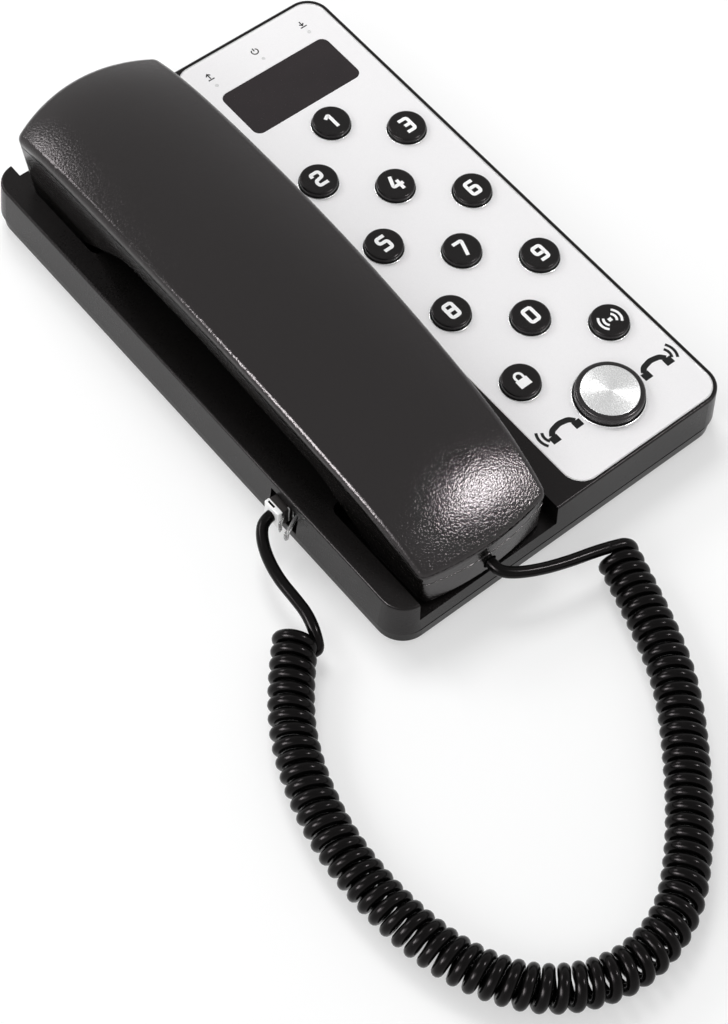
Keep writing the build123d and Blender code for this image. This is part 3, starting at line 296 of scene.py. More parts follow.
class Finish:
    """The nodes of a material, read from the frame's own coordinates, or of the world."""

    def __init__(self, name, world=None):
        self.material = None if world else bpy.data.materials.new(name)
        owner = world or self.material
        owner.use_nodes = True
        self.tree = owner.node_tree
        self.tree.nodes.clear()
        self.place = self.node("TexCoord", {}, {}, "Generated" if world else "Object")

    def node(self, kind, settings, inputs, output=0):
        """Adds one node: its settings first, then the values or links of its sockets."""
        made = self.tree.nodes.new("ShaderNode" + kind)
        for name, value in settings.items():
            if name == "stops":
                for stop, (position, shade) in zip(made.color_ramp.elements, value):
                    stop.position = position
                    stop.color = (shade, shade, shade, 1.0)
            else:
                setattr(made, name, value)
        for name, value in inputs.items():
            if isinstance(value, Channel):
                self.tree.links.new(value.socket, made.inputs[name])
            else:
                made.inputs[name].default_value = value
        return Channel(self, made.outputs[output])

    def noise(self, size, detail=2.0):
        """Soft noise whose spots are about that size, in metres."""
        return self.node("TexNoise", {}, {"Vector": self.place, "Scale": 1.0 / size, "Detail": detail}, "Fac")

    def ramp(self, value, low, high):
        """0 under low, 1 over high."""
        return self.node("ValToRGB", {"stops": ((low, 0.0), (high, 1.0))}, {"Fac": value}, "Color")

    def between(self, share, first, second):
        """A colour between two."""
        return self.node("Mix", {"data_type": "RGBA"}, {0: share, 6: first, 7: second}, 2)

    def bump(self, height, depth):
        """A normal from a height, depth in metres."""
        return self.node("Bump", {}, {"Strength": 1.0, "Distance": depth, "Height": height})

    def rays(self, *kinds):
        """1 for rays of any of these kinds, and 0 for others."""
        found = [self.node("LightPath", {}, {}, "Is %s Ray" % kind) for kind in kinds]
        share = found[0]
        for other in found[1:]:
            share = share.maths("MAXIMUM", share, other)
        return share

    def mixed(self, share, first, second):
        """A shader between two."""
        return self.node("MixShader", {}, {0: share, 1: first, 2: second})

    def end(self, shader, kind="Material"):
        """Ends the nodes at a shader."""
        output = self.tree.nodes.new("ShaderNodeOutput" + kind)
        self.tree.links.new(shader.socket, output.inputs["Surface"])

    def surface(self, **inputs):
        """The plain shader with these inputs, and the material that it ends."""
        named = {name.replace("_", " "): value for name, value in inputs.items()}
        self.end(self.node("BsdfPrincipled", {}, named))
        return self.material


def grey(level, warmth=0.0):
    """A near-grey colour, a little warm where warmth is over 0."""
    return (level * (1 + warmth), level, level * (1 - warmth), 1.0)


# Finishes

WARM_GLOSS = (1.0, 0.925, 0.945, 1.0)


def moulded_plastic(name, level, warmth, roughness, specular, grain, depth, index=1.5):
    """Moulded plastic: fine grain, faint cloudiness, and handling marks in its gloss."""
    finish = Finish(name)
    cloud = finish.noise(0.03, 3.0)
    pebbles = finish.noise(grain, 3.0)
    smudges = finish.ramp(finish.noise(0.012, 4.0), 0.5, 0.72)
    shade = cloud * 0.6 + pebbles * 0.4
    colour = finish.between(shade, grey(level * 0.75, warmth), grey(level * 1.3, warmth))
    return finish.surface(
        Base_Color=colour,
        Roughness=roughness + (pebbles - 0.5) * 0.14 + (cloud - 0.5) * 0.06 - smudges * 0.02,
        Specular_IOR_Level=specular,
        Specular_Tint=WARM_GLOSS,
        IOR=index,
        Normal=finish.bump(pebbles, depth),
    )


def face_silver():
    """Silver paint on the faceplate: a pearly ground with fine bright flakes."""
    finish = Finish("face_silver")
    flakes = finish.noise(0.00022, 2.0)
    cloud = finish.noise(0.05, 2.0)
    colour = finish.between(flakes * 0.75 + cloud * 0.25, (0.79, 0.78, 0.792, 1.0), (0.94, 0.93, 0.935, 1.0))
    return finish.surface(
        Base_Color=colour,
        Metallic=0.25,
        Roughness=0.42 + (flakes - 0.5) * 0.3,
        Normal=finish.bump(flakes, 0.000006),
    )


def bright_metal(name, level, roughness):
    """Bare or plated metal with fine drawing marks."""
    finish = Finish(name)
    marks = finish.noise(0.0004, 3.0)
    cloud = finish.noise(0.006, 2.0)
    colour = finish.between(marks * 0.6 + cloud * 0.4, grey(level * 0.85), grey(level * 1.1))
    return finish.surface(
        Base_Color=colour,
        Metallic=1.0,
        Roughness=roughness + (marks - 0.5) * 0.2,
        Normal=finish.bump(marks, 0.000004),
    )


def key_black():
    """Glossy key plastic, a little duller in places where fingers press."""
    finish = Finish("key_black")
    waves = finish.noise(0.0022, 2.0)
    speckle = finish.noise(0.0002, 2.0)
    worn = finish.ramp(finish.noise(0.005, 3.0), 0.45, 0.75)
    return finish.surface(
        Base_Color=finish.between(speckle, grey(0.004, 0.03), grey(0.008, 0.03)),
        Roughness=0.2 + worn * 0.12 + (speckle - 0.5) * 0.1,
        Specular_IOR_Level=0.25,
        Specular_Tint=WARM_GLOSS,
        Normal=finish.bump(waves, 0.00003),
    )


def print_ink(name, level):
    """Printed or inlaid marks, with a slight unevenness of the ink."""
    finish = Finish(name)
    spots = finish.noise(0.0003, 3.0)
    return finish.surface(
        Base_Color=finish.between(spots, grey(level * 0.94), grey(min(level * 1.05, 0.95))),
        Roughness=0.45 + (spots - 0.5) * 0.2,
        Specular_IOR_Level=0.3,
    )


def window_smoke():
    """Smoked display window: deep brown-grey under a clear gloss."""
    finish = Finish("window_smoke")
    haze = finish.noise(0.008, 3.0)
    dust = finish.ramp(finish.noise(0.0006, 2.0), 0.62, 0.8)
    smoke = haze * 0.8 + dust * 0.2
    return finish.surface(
        Base_Color=finish.between(smoke, (0.008, 0.006, 0.007, 1.0), (0.018, 0.014, 0.015, 1.0)),
        Roughness=0.16 + dust * 0.25,
        Specular_IOR_Level=0.42,
        Specular_Tint=WARM_GLOSS,
        Normal=finish.bump(haze, 0.00004),
    )


def cord_black():
    """Glossy cord jacket with the faint ripple of drawn plastic."""
    finish = Finish("cord_black")
    ripple = finish.noise(0.0016, 2.0)
    fine = finish.noise(0.0003, 2.0)
    return finish.surface(
        Base_Color=finish.between(ripple, grey(0.001, 0.04), grey(0.003, 0.04)),
        Roughness=0.2 + (fine - 0.5) * 0.08,
        Specular_IOR_Level=0.12,
        Specular_Tint=WARM_GLOSS,
        Normal=finish.bump(ripple, 0.00001),
    )


def clear_plastic(name, tint, through):
    """Clear or frosted plastic with a faint ripple, or opaque white plastic as a painted highlight."""
    finish = Finish(name)
    ripple = finish.noise(0.0012, 2.0)
    return finish.surface(
        Base_Color=finish.between(ripple, grey(tint * 0.94), grey(tint)),
        Roughness=0.06 + (ripple - 0.5) * 0.08,
        Transmission_Weight=through,
        IOR=1.5,
        Normal=finish.bump(ripple, 0.00003),
    )


def rubber(name, level, roughness):
    """Matt rubber, paper or ferrite, with a fine tooth."""
    finish = Finish(name)
    tooth = finish.noise(0.0004, 3.0)
    return finish.surface(
        Base_Color=finish.between(tooth, grey(level * 0.7), grey(level * 1.3)),
        Roughness=roughness + (tooth - 0.5) * 0.15,
        Specular_IOR_Level=0.3,
        Normal=finish.bump(tooth, 0.00003),
    )


def board_green():
    """Circuit board: green lacquer over tracks."""
    finish = Finish("board_green")
    tracks = finish.node("TexBrick", {"offset": 0.35}, {
        "Vector": finish.place,
        "Scale": 420.0,
        "Color1": grey(0.0),
        "Color2": grey(0.25),
        "Mortar": grey(1.0),
        "Mortar Size": 0.04,
    }, "Fac")
    colour = finish.between(tracks, (0.012, 0.11, 0.035, 1.0), (0.03, 0.2, 0.07, 1.0))
    return finish.surface(Base_Color=colour, Roughness=0.3 + finish.noise(0.002) * 0.2,
                          Normal=finish.bump(tracks, 0.00002))


def contact_gold():
    """Gilt contacts."""
    finish = Finish("contact_gold")
    marks = finish.noise(0.0005, 2.0)
    return finish.surface(
        Base_Color=finish.between(marks, (0.72, 0.5, 0.17, 1.0), (0.9, 0.68, 0.28, 1.0)),
        Metallic=1.0,
        Roughness=0.2 + marks * 0.15,
    )


# Level, warmth, roughness, specular level, grain's size, grain's depth and index of refraction
moulded_plastics = {
    "housing_black": (0.003, 0.08, 0.3, 0.8, 0.0006, 0.00004, 1.25),
    "cover_black": (0.003, 0.08, 0.3, 0.6, 0.0006, 0.00003, 1.25),
    "handset_black": (0.005, 0.08, 0.13, 0.98, 0.00065, 0.00009, 1.35),
    "jack_black": (0.008, 0.0, 0.5, 0.4, 0.0005, 0.00002),
    "switch_black": (0.02, 0.0, 0.5, 0.4, 0.0005, 0.00002),
    "chip_black": (0.015, 0.0, 0.55, 0.4, 0.0003, 0.00001),
    "plunger_black": (0.012, 0.0, 0.35, 0.5, 0.0006, 0.00002),
    "button_black": (0.008, 0.0, 0.26, 0.5, 0.0005, 0.00001),
    "display_grey": (0.1, 0.0, 0.5, 0.4, 0.0005, 0.00001),
    "plug_dark": (0.012, 0.08, 0.35, 0.4, 0.0005, 0.00002),
}

# Level and roughness
metals = {
    "cap_metal": (0.86, 0.27),
    "screw_steel": (0.5, 0.3),
    "shield_tin": (0.68, 0.35),
    "speaker_steel": (0.45, 0.35),
    "weight_steel": (0.38, 0.4),
    "edge_bright": (0.9, 0.25),
}
rubbers = {
    "foot_rubber": (0.012, 0.8),
    "cone_paper": (0.05, 0.9),
    "ferrite": (0.08, 0.7),
}

# Level, and how much light goes through
clear_plastics = {
    "plug_clear": (0.97, 0.85),
    # Opaque white: a painted highlight standing in for light caught by the clear plug's rear.
    "plug_painted_highlight": (0.97, 0.0),
    "plug_grey": (0.3, 0.0),
    "lamp_clear": (0.9, 0.5),
    "pipe_clear": (0.7, 0.05),
}

# Level
inks = {
    "digit_white": (0.88,),
    "label_black": (0.003,),
}
finishes = {
    "key_black": key_black(),
    "face_silver": face_silver(),
    "window_smoke": window_smoke(),
    "contact_gold": contact_gold(),
    "board_green": board_green(),
    "cord_black": cord_black(),
}
for make, rows in (
    (moulded_plastic, moulded_plastics),
    (bright_metal, metals),
    (rubber, rubbers),
    (clear_plastic, clear_plastics),
    (print_ink, inks),
):
    for name, values in rows.items():
        finishes[name] = make(name, *values)

for row in frame["record"]["subparts"]:
    node = frame["nodes"][row["node"]]
    node.data.materials.clear()
    node.data.materials.append(finishes[row["material_slot"]])

make_cord(finishes["cord_black"])


# Marks: digits and signs made of strokes, a hair proud of what carries them

CORNER_STEPS = 5
CORNER_SHARE = 0.49
MITRE_LEAST = 0.45


def softened(line, radius, closed):
    """A stroke's line with its corners eased."""
    if radius == 0.0:
        return line
    count = len(line)
    eased = []
    for number, spot in enumerate(line):
        if not closed and number in (0, count - 1):
            eased.append(spot)
            continue
        before = line[number - 1]
        after = line[(number + 1) % count]
        shorter = min((spot - before).length, (after - spot).length)
        reach = min(radius, shorter * CORNER_SHARE)
        start = spot + (before - spot).normalized() * reach
        end = spot + (after - spot).normalized() * reach
        for step in range(CORNER_STEPS + 1):
            share = step / CORNER_STEPS
            eased.append(start.lerp(spot, share).lerp(spot.lerp(end, share), share))
    return eased


def stroke_prism(line, width, closed, low, high, points, faces):
    """Adds a flat-topped bar that follows a line on the plan."""
    count = len(line)
    first = len(points)
    for number, spot in enumerate(line):
        headings = []
        if closed or number:
            headings.append((spot - line[number - 1]).normalized())
        if closed or number < count - 1:
            headings.append((line[(number + 1) % count] - spot).normalized())
        heading = sum(headings, Vector((0.0, 0.0))).normalized()
        stretch = 1.0 / max(heading.dot(headings[0]), MITRE_LEAST)
        side = Vector((-heading.y, heading.x)) * (width / 2 * stretch)
        for level in (high, low):
            for edge in (spot + side, spot - side):
                points.append((edge.x, edge.y, level))
    last = count if closed else count - 1
    for number in range(last):
        a = first + 4 * number
        b = first + 4 * ((number + 1) % count)
        faces += [(a, a + 1, b + 1, b), (a + 2, b + 2, b + 3, a + 3), (a, b, b + 2, a + 2),
                  (a + 1, a + 3, b + 3, b + 1)]
    if not closed:
        end = first + 4 * (count - 1)
        faces += [(first, first + 2, first + 3, first + 1), (end, end + 1, end + 3, end + 2)]


def make_marks(name, strokes, centre, base, height, material):
    """One mesh of strokes: each is (width, corner, closed, points), in millimetres about the centre."""
    points = []
    faces = []
    for number, (width, corner, closed, spots) in enumerate(strokes):
        line = [Vector((centre[0] + x * MM, centre[1] + y * MM)) for x, y in spots]
        line = softened(line, corner * MM, closed)
        top = base + height + number * STROKE_STEP
        stroke_prism(line, width * MM, closed, base, top, points, faces)
    return add_object(name, mesh_of(name, points, faces), material, smooth=False)


def circle_line(x, y, radius, count, start=0.0, sweep=360.0):
    """Points of a circle or part of one, in degrees."""
    steps = count if sweep >= 360.0 else count + 1
    turns = [math.radians(start + sweep * number / count) for number in range(steps)]
    return [(x + radius * math.cos(turn), y + radius * math.sin(turn)) for turn in turns]


DIGIT_STROKE = 1.2
DIGIT_CORNER = 0.9
DIGIT_SCALE = 1.06
MARK_SUNK = 0.05 * MM
MARK_HEIGHT = 0.09 * MM
STROKE_STEP = 0.006 * MM
digit_lines = {
    "0": [(True, [(-1.45, -2.35), (1.45, -2.35), (1.45, 2.35), (-1.45, 2.35)])],
    "1": [(False, [(-1.35, 1.25), (0.35, 2.3), (0.35, -3.0)])],
    "2": [(False, [(-1.45, 1.15), (-1.45, 2.35), (1.45, 2.35), (1.45, 0.1), (-1.45, -0.4), (-1.45, -2.35),
                   (1.75, -2.35)])],
    "3": [(False, [(-1.6, 2.35), (1.45, 2.35), (1.45, -2.35), (-1.6, -2.35)]),
          (False, [(-0.9, 0.0), (1.45, 0.0)])],
    "4": [(False, [(0.0, 3.0), (-1.6, -0.95), (2.1, -0.95)]), (False, [(0.85, 0.8), (0.85, -3.0)])],
    "5": [(False, [(1.65, 2.35), (-1.4, 2.35), (-1.4, 0.35), (1.45, 0.35), (1.45, -2.35), (-1.65, -2.35)])],
    "6": [(False, [(1.5, 2.35), (-1.45, 2.35), (-1.45, -2.35), (1.45, -2.35), (1.45, 0.2), (-1.0, 0.2)])],
    "7": [(False, [(-1.75, 2.35), (1.5, 2.35), (-0.3, -3.0)])],
    "8": [(True, [(-1.45, -2.35), (1.45, -2.35), (1.45, 2.35), (-1.45, 2.35)]),
          (False, [(-1.0, 0.1), (1.0, 0.1)])],
    "9": [(False, [(-1.5, -2.35), (1.45, -2.35), (1.45, 2.35), (-1.45, 2.35), (-1.45, -0.2), (1.0, -0.2)])],
}


def key_top(node):
    """Centre and level of a key's top."""
    low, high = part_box(node)
    return ((low[0] + high[0]) / 2, (low[1] + high[1]) / 2), high[2]


def make_key_mark(name, key, strokes):
    """A white mark on a key's top, a hair proud of it."""
    centre, top = key_top("key_" + key)
    piece = make_marks(name, strokes, centre, top - MARK_SUNK, MARK_HEIGHT, finishes["digit_white"])
    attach(piece, "button_" + key)


def make_digits():
    """White digits on the keys, and plain signs on the two function keys."""
    for digit, lines in digit_lines.items():
        strokes = []
        for closed, spots in lines:
            spots = [(DIGIT_SCALE * x, DIGIT_SCALE * y) for x, y in spots]
            strokes.append((DIGIT_STROKE, DIGIT_CORNER, closed, spots))
        make_key_mark("digit_" + digit, digit, strokes)
    padlock = [
        (3.0, 0.0, False, [(-2.1, -1.3), (2.1, -1.3)]),
        (0.8, 0.0, False, [(-1.3, 0.0)] + circle_line(0.0, 1.2, 1.3, 14, 180.0, -180.0) + [(1.3, 0.0)]),
    ]
    waves = [(1.3, 0.0, False, [(-0.65, 0.0), (0.65, 0.0)])]
    for radius in (2.1, 3.7):
        waves.append((0.8, 0.0, False, circle_line(0.0, 0.0, radius, 12, -45.0, 90.0)))
        waves.append((0.8, 0.0, False, circle_line(0.0, 0.0, radius, 12, 135.0, 90.0)))
    make_key_mark("sign_left", "function_left", padlock)
    make_key_mark("sign_right", "function_right", waves)


make_digits()


# Signs on the faceplate

FACE_TOP = 19.9 * MM
INK_SUNK = 0.02 * MM
INK_HEIGHT = 0.045 * MM
CALL_BUTTON_X = 33.85
CALL_SIGN_OFFSET = 18.6
CALL_SIGN_Y = -79.8
LAMP_SIGN_STROKE = 0.42


def make_face_sign(name, centre, strokes):
    """A printed sign on the faceplate."""
    piece = make_marks(name, strokes, centre, FACE_TOP - INK_SUNK, INK_HEIGHT, finishes["label_black"])
    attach(piece, "base")


def make_face_signs():
    """Ringing-handset signs beside the round button, and send, power and receive signs by the lamps."""
    handset_sign = [
        (1.9, 0.8, False, [(-4.6, -0.6), (-3.3, 1.0), (0.0, 1.7), (3.3, 1.0), (4.6, -0.6)]),
        (2.6, 0.0, False, [(-6.0, -1.8), (-3.0, -1.8)]),
        (2.6, 0.0, False, [(3.0, -1.8), (6.0, -1.8)]),
    ]
    for side in (-1, 1):
        start = 145.0 if side < 0 else -35.0
        rings = [(0.95, 0.0, False, circle_line(side * 3.6, 0.4, radius, 10, start, 70.0))
                 for radius in (3.2, 5.0)]
        centre = ((CALL_BUTTON_X + side * CALL_SIGN_OFFSET) * MM, CALL_SIGN_Y * MM)
        make_face_sign("call_sign_" + ("left" if side < 0 else "right"), centre, handset_sign + rings)
    arrow_up = [
        (LAMP_SIGN_STROKE, 0.0, False, [(0.0, -1.1), (0.0, 1.0)]),
        (LAMP_SIGN_STROKE, 0.0, False, [(-0.8, 0.25), (0.0, 1.1), (0.8, 0.25)]),
        (LAMP_SIGN_STROKE, 0.0, False, [(-1.2, -1.5), (1.2, -1.5)]),
    ]
    arrow_down = [
        (LAMP_SIGN_STROKE, 0.0, False, [(0.0, 1.1), (0.0, -0.7)]),
        (LAMP_SIGN_STROKE, 0.0, False, [(-0.8, 0.0), (0.0, -0.85), (0.8, 0.0)]),
        (LAMP_SIGN_STROKE, 0.0, False, [(-1.2, -1.5), (1.2, -1.5)]),
    ]
    power = [
        (LAMP_SIGN_STROKE, 0.0, False, circle_line(0.0, -0.1, 1.15, 18, 125.0, 290.0)),
        (LAMP_SIGN_STROKE, 0.0, False, [(0.0, 0.1), (0.0, 1.45)]),
    ]
    make_face_sign("send_sign", (14.9 * MM, 91.6 * MM), arrow_up)
    make_face_sign("power_sign", (33.4 * MM, 91.2 * MM), power)
    make_face_sign("receive_sign", (52.9 * MM, 91.4 * MM), arrow_down)


make_face_signs()


# Turned and framed pieces of the face

def turned_mesh(name, profile, centre, segments):
    """A turned piece: its profile of radius and height, closed at both ends on the axis."""
    points = []
    faces = []
    for radius, level in profile:
        for segment in range(segments):
            turn = math.tau * segment / segments
            points.append((centre[0] + radius * math.cos(turn), centre[1] + radius * math.sin(turn), level))
    for ring in range(len(profile) - 1):
        for segment in range(segments):
            near = ring * segments + segment
            far = ring * segments + (segment + 1) % segments
            faces.append((near, far, far + segments, near + segments))
    for ring, level in ((0, profile[0][1]), (len(profile) - 1, profile[-1][1])):
        tip = len(points)
        points.append((centre[0], centre[1], level))
        for segment in range(segments):
            faces.append((ring * segments + segment, ring * segments + (segment + 1) % segments, tip))
    return mesh_of(name, points, faces)


GROOVE_PITCH = 0.26 * MM
GROOVE_DEPTH = 0.014 * MM
RINGS_PER_GROOVE = 6
GROOVES_MARGIN = 0.3 * MM
CAP_SEGMENTS = 120


def make_turned_cap():
    """The turned disc of the round button, with its fine turning grooves."""
    low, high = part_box("call_button_cap")
    centre = ((low[0] + high[0]) / 2, (low[1] + high[1]) / 2)
    radius = (high[0] - low[0]) / 2
    turned_radius = radius - GROOVES_MARGIN
    turned_level = high[2] - GROOVE_DEPTH - 0.005 * MM
    rings = RINGS_PER_GROOVE * round(turned_radius / GROOVE_PITCH)
    profile = []
    for ring in range(1, rings + 1):
        reach = turned_radius * ring / rings
        profile.append((reach, turned_level + math.cos(math.tau * reach / GROOVE_PITCH) * GROOVE_DEPTH))
    profile += [
        (radius - 0.12 * MM, high[2] - 0.03 * MM),
        (radius, high[2] - 0.14 * MM),
        (radius, low[2]),
        (radius * 0.5, low[2]),
    ]
    mesh = turned_mesh("turned_cap", profile, centre, CAP_SEGMENTS)
    piece = add_object("turned_cap", mesh, finishes["cap_metal"])
    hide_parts("call_button_cap")
    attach(piece, "call")
    return piece


turned_cap = make_turned_cap()


def corner_outline(centre, width, length, radius, count=8):
    """The closed outline of a rounded rectangle on the plan."""
    outline = []
    for quarter, (x, y) in enumerate(((1, 1), (-1, 1), (-1, -1), (1, -1))):
        middle = (centre[0] + x * (width / 2 - radius), centre[1] + y * (length / 2 - radius))
        for step in range(count + 1):
            turn = math.radians(90.0 * quarter + 90.0 * step / count)
            outline.append((middle[0] + radius * math.cos(turn), middle[1] + radius * math.sin(turn)))
    return outline


def loop_mesh(name, outlines, closed_section=True):
    """A ring or a lofted body through outlines with the same count of points."""
    count = len(outlines[0])
    points = [point for outline in outlines for point in outline]
    faces = []
    last = len(outlines) if closed_section else len(outlines) - 1
    for number in range(last):
        here = number * count
        there = (number + 1) % len(outlines) * count
        for step in range(count):
            after = (step + 1) % count
            faces.append((here + step, here + after, there + after, there + step))
    if not closed_section:
        faces.append(tuple(range(count)))
        faces.append(tuple(range((len(outlines) - 1) * count, len(outlines) * count)))
    return mesh_of(name, points, faces)


PLATE_CORNER = 6.8 * MM
EDGE_WIDTH = 0.4 * MM
EDGE_PROUD = 0.06 * MM
EDGE_SUNK = 0.12 * MM


def make_plate_edge():
    """The bright chamfer along the faceplate's edge."""
    low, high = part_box("faceplate")
    centre = ((low[0] + high[0]) / 2, (low[1] + high[1]) / 2)
    section = (
        (0.0, high[2] - EDGE_SUNK),
        (0.04 * MM, high[2] + EDGE_PROUD),
        (EDGE_WIDTH, high[2] + EDGE_PROUD),
        (EDGE_WIDTH + 0.1 * MM, high[2] - EDGE_SUNK),
    )
    outlines = []
    for inset, level in section:
        width = high[0] - low[0] - 2 * inset
        length = high[1] - low[1] - 2 * inset
        plan = corner_outline(centre, width, length, PLATE_CORNER - inset)
        outlines.append([(x, y, level) for x, y in plan])
    mesh = loop_mesh("faceplate_edge", outlines)
    piece = add_object("faceplate_edge", mesh, finishes["edge_bright"], smooth=False)
    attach(piece, "base")


make_plate_edge()


KEY_FLANGE = 0.9 * MM
HOLE_GAP = 0.25 * MM
RIM_SEGMENTS = 64

# Width and height of the rim at a key, and at the round button
KEY_RIM = (0.35 * MM, 0.1 * MM)
BUTTON_RIM = (0.55 * MM, 0.3 * MM)


def make_hole_rims():
    """The rolled edge of each hole in the faceplate: a low bright ring, larger at the round button."""
    rims = [("key_" + name, KEY_RIM) for name in digit_lines]
    rims += [("key_function_" + side, KEY_RIM) for side in ("left", "right")]
    rims.append(("call_button", BUTTON_RIM))
    for node, (width, height) in rims:
        low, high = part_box(node)
        centre = ((low[0] + high[0]) / 2, (low[1] + high[1]) / 2)
        inner = (high[0] - low[0]) / 2 - KEY_FLANGE + HOLE_GAP
        section = (
            (inner, FACE_TOP - 0.1 * MM),
            (inner, FACE_TOP + height * 0.5),
            (inner + width * 0.3, FACE_TOP + height),
            (inner + width * 0.7, FACE_TOP + height * 0.7),
            (inner + width, FACE_TOP - 0.02 * MM),
        )
        outlines = []
        for reach, level in section:
            ring = circle_line(centre[0], centre[1], reach, RIM_SEGMENTS)
            outlines.append([(x, y, level) for x, y in ring])
        piece = add_object("rim_" + node, loop_mesh("rim_" + node, outlines), finishes["edge_bright"])
        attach(piece, "base")


make_hole_rims()


# Plug with its latch, seen in the cradle side

BLOCK_EDGE_STEPS = 3


def rounded_block(name, low, high, width):
    """A block with rounded edges."""
    work = bmesh.new()
    bmesh.ops.create_cube(work, size=1.0)
    for vertex in work.verts:
        vertex.co = Vector([low[axis] + (vertex.co[axis] + 0.5) * (high[axis] - low[axis])
                            for axis in range(3)])
    bmesh.ops.bevel(work, geom=work.edges[:], offset=width, segments=BLOCK_EDGE_STEPS, profile=0.5,
                    affect="EDGES")
    mesh = bpy.data.meshes.new(name)
    work.to_mesh(mesh)
    work.free()
    return mesh


PLUG_AXIS_Z = 0.012
LATCH_SIDES = 16

# Powers that square the latch's round section, across its width and through its thickness
ACROSS_POWER = 0.35
THROUGH_POWER = 0.6


def latch_mesh(name, line, half_width):
    """A tongue that follows a line of plan points with a thickness at each, its long edges rounded."""
    outlines = []
    for number, (x, y, thickness) in enumerate(line):
        before = line[max(number - 1, 0)]
        after = line[min(number + 1, len(line) - 1)]
        heading = Vector((after[0] - before[0], after[1] - before[1])).normalized()
        side = Vector((-heading.y, heading.x))
        section = []
        for step in range(LATCH_SIDES):
            turn = math.tau * step / LATCH_SIDES
            across = math.copysign(abs(math.cos(turn)) ** ACROSS_POWER, math.cos(turn)) * half_width
            through = math.copysign(abs(math.sin(turn)) ** THROUGH_POWER, math.sin(turn)) * thickness / 2
            section.append((x + side.x * through, y + side.y * through, PLUG_AXIS_Z + across))
        outlines.append(section)
    return loop_mesh(name, outlines, closed_section=False)


def make_plug():
    """The plug: opaque white collar, a painted highlight for the lit rear of its clear plastic, with its
    slot, dark ribbed body, and clear latch and keeper.
    """
    blocks = (
        # The collar is opaque white, a painted highlight for the lit rear of the clear plug.
        ("plug_collar", "plug_painted_highlight", (-68.8, -50.2, 8.4), (-67.0, -43.7, 15.9), 0.35),
        ("plug_slot", "cord_black", (-68.3, -47.4, 15.2), (-67.6, -44.6, 15.95), 0.1),
        ("plug_body", "plug_dark", (-67.8, -50.2, 8.4), (-55.6, -43.8, 15.6), 0.35),
        ("plug_rib_1", "plug_grey", (-64.9, -50.45, 9.0), (-64.5, -49.6, 15.9), 0.12),
        ("plug_rib_2", "plug_grey", (-63.3, -50.45, 9.0), (-62.9, -49.6, 15.9), 0.12),
        ("plug_rib_3", "plug_grey", (-61.7, -50.45, 9.0), (-61.3, -49.6, 15.9), 0.12),
    )
    pieces = []
    for name, finish, low, high, edge in blocks:
        low = [value * MM for value in low]
        high = [value * MM for value in high]
        piece = add_object(name, rounded_block(name, low, high, edge * MM), finishes[finish])
        pieces.append((piece, finish))
        if name == "plug_body":
            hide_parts("modular_plug")
    tongue = [
        (-56.4, -50.4, 0.9), (-59.5, -50.9, 0.9), (-62.5, -51.7, 0.9), (-65.2, -52.9, 0.85),
        (-67.4, -54.0, 0.85), (-68.8, -54.8, 1.0), (-69.5, -55.2, 1.6), (-70.0, -55.5, 1.5),
        (-70.3, -55.7, 0.7),
    ]
    keeper = [
        (-66.6, -50.2, 0.7), (-67.8, -50.7, 0.7), (-68.7, -51.3, 0.9), (-69.3, -51.9, 1.2),
        (-69.7, -52.3, 0.6),
    ]
    for name, line, half_width in (("plug_latch", tongue, 1.6), ("plug_keeper", keeper, 1.9)):
        line = [(x * MM, y * MM, thickness * MM) for x, y, thickness in line]
        piece = add_object(name, latch_mesh(name, line, half_width * MM), finishes["plug_clear"])
        pieces.append((piece, "plug_clear"))
    for piece, finish in pieces:
        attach(piece, "base")


make_plug()


# Floor, light and world

FLOOR_REACH = 6.0
FLOOR_LEVEL = -0.2 * MM
NEAR_GLOW = 0.45


def make_floor():
    """A wide pale floor: it glows less near the object, so that the shadow shows, and fully far off."""
    quarters = ((-1, -1), (1, -1), (1, 1), (-1, 1))
    corners = [(x * FLOOR_REACH, y * FLOOR_REACH, FLOOR_LEVEL) for x, y in quarters]
    mesh = mesh_of("floor", corners, [(0, 1, 2, 3)])
    finish = Finish("floor_white")
    paper = finish.noise(0.4, 2.0)
    shade = finish.node("BsdfDiffuse", {}, {"Color": finish.between(paper, grey(0.95), grey(0.97))})
    glow = finish.node("Emission", {}, {"Color": grey(1.0), "Strength": 1.0})
    seen = finish.rays("Camera", "Glossy", "Transmission")
    distance = finish.node("VectorMath", {"operation": "LENGTH"}, {0: finish.place}, "Value")
    far = finish.node("MapRange", {}, {"Value": distance, "From Min": 0.5, "From Max": 1.8})
    finish.end(finish.mixed(seen * (NEAR_GLOW + far * (1.0 - NEAR_GLOW)), shade, glow))
    add_object("floor", mesh, finish.material, smooth=False)


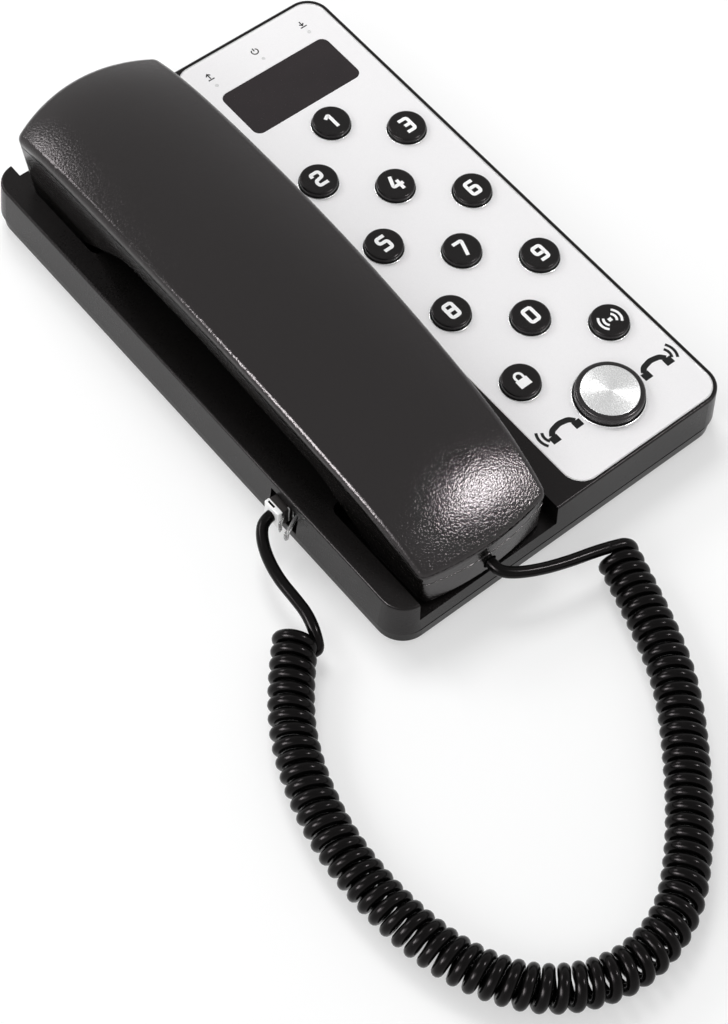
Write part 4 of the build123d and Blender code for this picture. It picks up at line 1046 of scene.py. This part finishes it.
LAMP_AIM = Vector((-0.02, -0.03, 0.02))


def make_lamp(name, place, size, power, diffuse=True, gloss=True, only=None):
    """A soft lamp that faces the object, for diffuse light, for gloss or both, or for one piece alone."""
    data = bpy.data.lights.new(name, "AREA")
    data.shape = "RECTANGLE"
    data.size, data.size_y = size
    data.energy = power
    lamp = bpy.data.objects.new(name, data)
    lamp.matrix_world = facing(Vector(place), LAMP_AIM)
    lamp.visible_diffuse = diffuse
    lamp.visible_glossy = gloss
    bpy.context.scene.collection.objects.link(lamp)
    if only:
        receivers = bpy.data.collections.new(name + "_receivers")
        receivers.objects.link(only)
        lamp.light_linking.receiver_collection = receivers


def make_world():
    """A pale surround, white where it is seen; pieces mirror it brighter low down than overhead."""
    world = bpy.data.worlds.new("studio")
    bpy.context.scene.world = world
    sky = Finish("studio", world)
    height = sky.node("SeparateXYZ", {}, {0: sky.place}, "Z")
    levels = {"Value": height, "From Min": 0.12, "From Max": 0.8, "To Min": 1.0, "To Max": 0.64}
    mirrored = sky.node("MapRange", {}, levels)
    light, mirror, backdrop = (sky.node("Background", {}, {"Color": grey(1.0), "Strength": strength})
                               for strength in (0.52, mirrored, 1.0))
    lit = sky.mixed(sky.rays("Glossy", "Transmission"), light, mirror)
    sky.end(sky.mixed(sky.rays("Camera"), lit, backdrop), "World")


make_floor()
make_lamp("key_lamp", (0.54, -0.58, 0.98), (0.14, 0.14), 5.6, diffuse=False)
make_lamp("fill_lamp", (0.2, 0.55, 1.1), (0.45, 0.45), 6.6, gloss=False)
make_lamp("head_lamp", (-0.33, 0.93, 0.75), (0.4, 0.3), 3.6)
make_lamp("crease_lamp", (-1.08, 0.16, 0.56), (0.5, 0.4), 13.0, diffuse=False)
make_lamp("side_lamp", (-0.95, -0.2, 0.7), (0.5, 0.5), 2.6)
make_lamp("cap_lamp", (0.294, 0.53, 0.768), (0.25, 0.25), 0.9, diffuse=False, only=turned_cap)
make_world()
bpy.context.scene.view_settings.view_transform = "Standard"
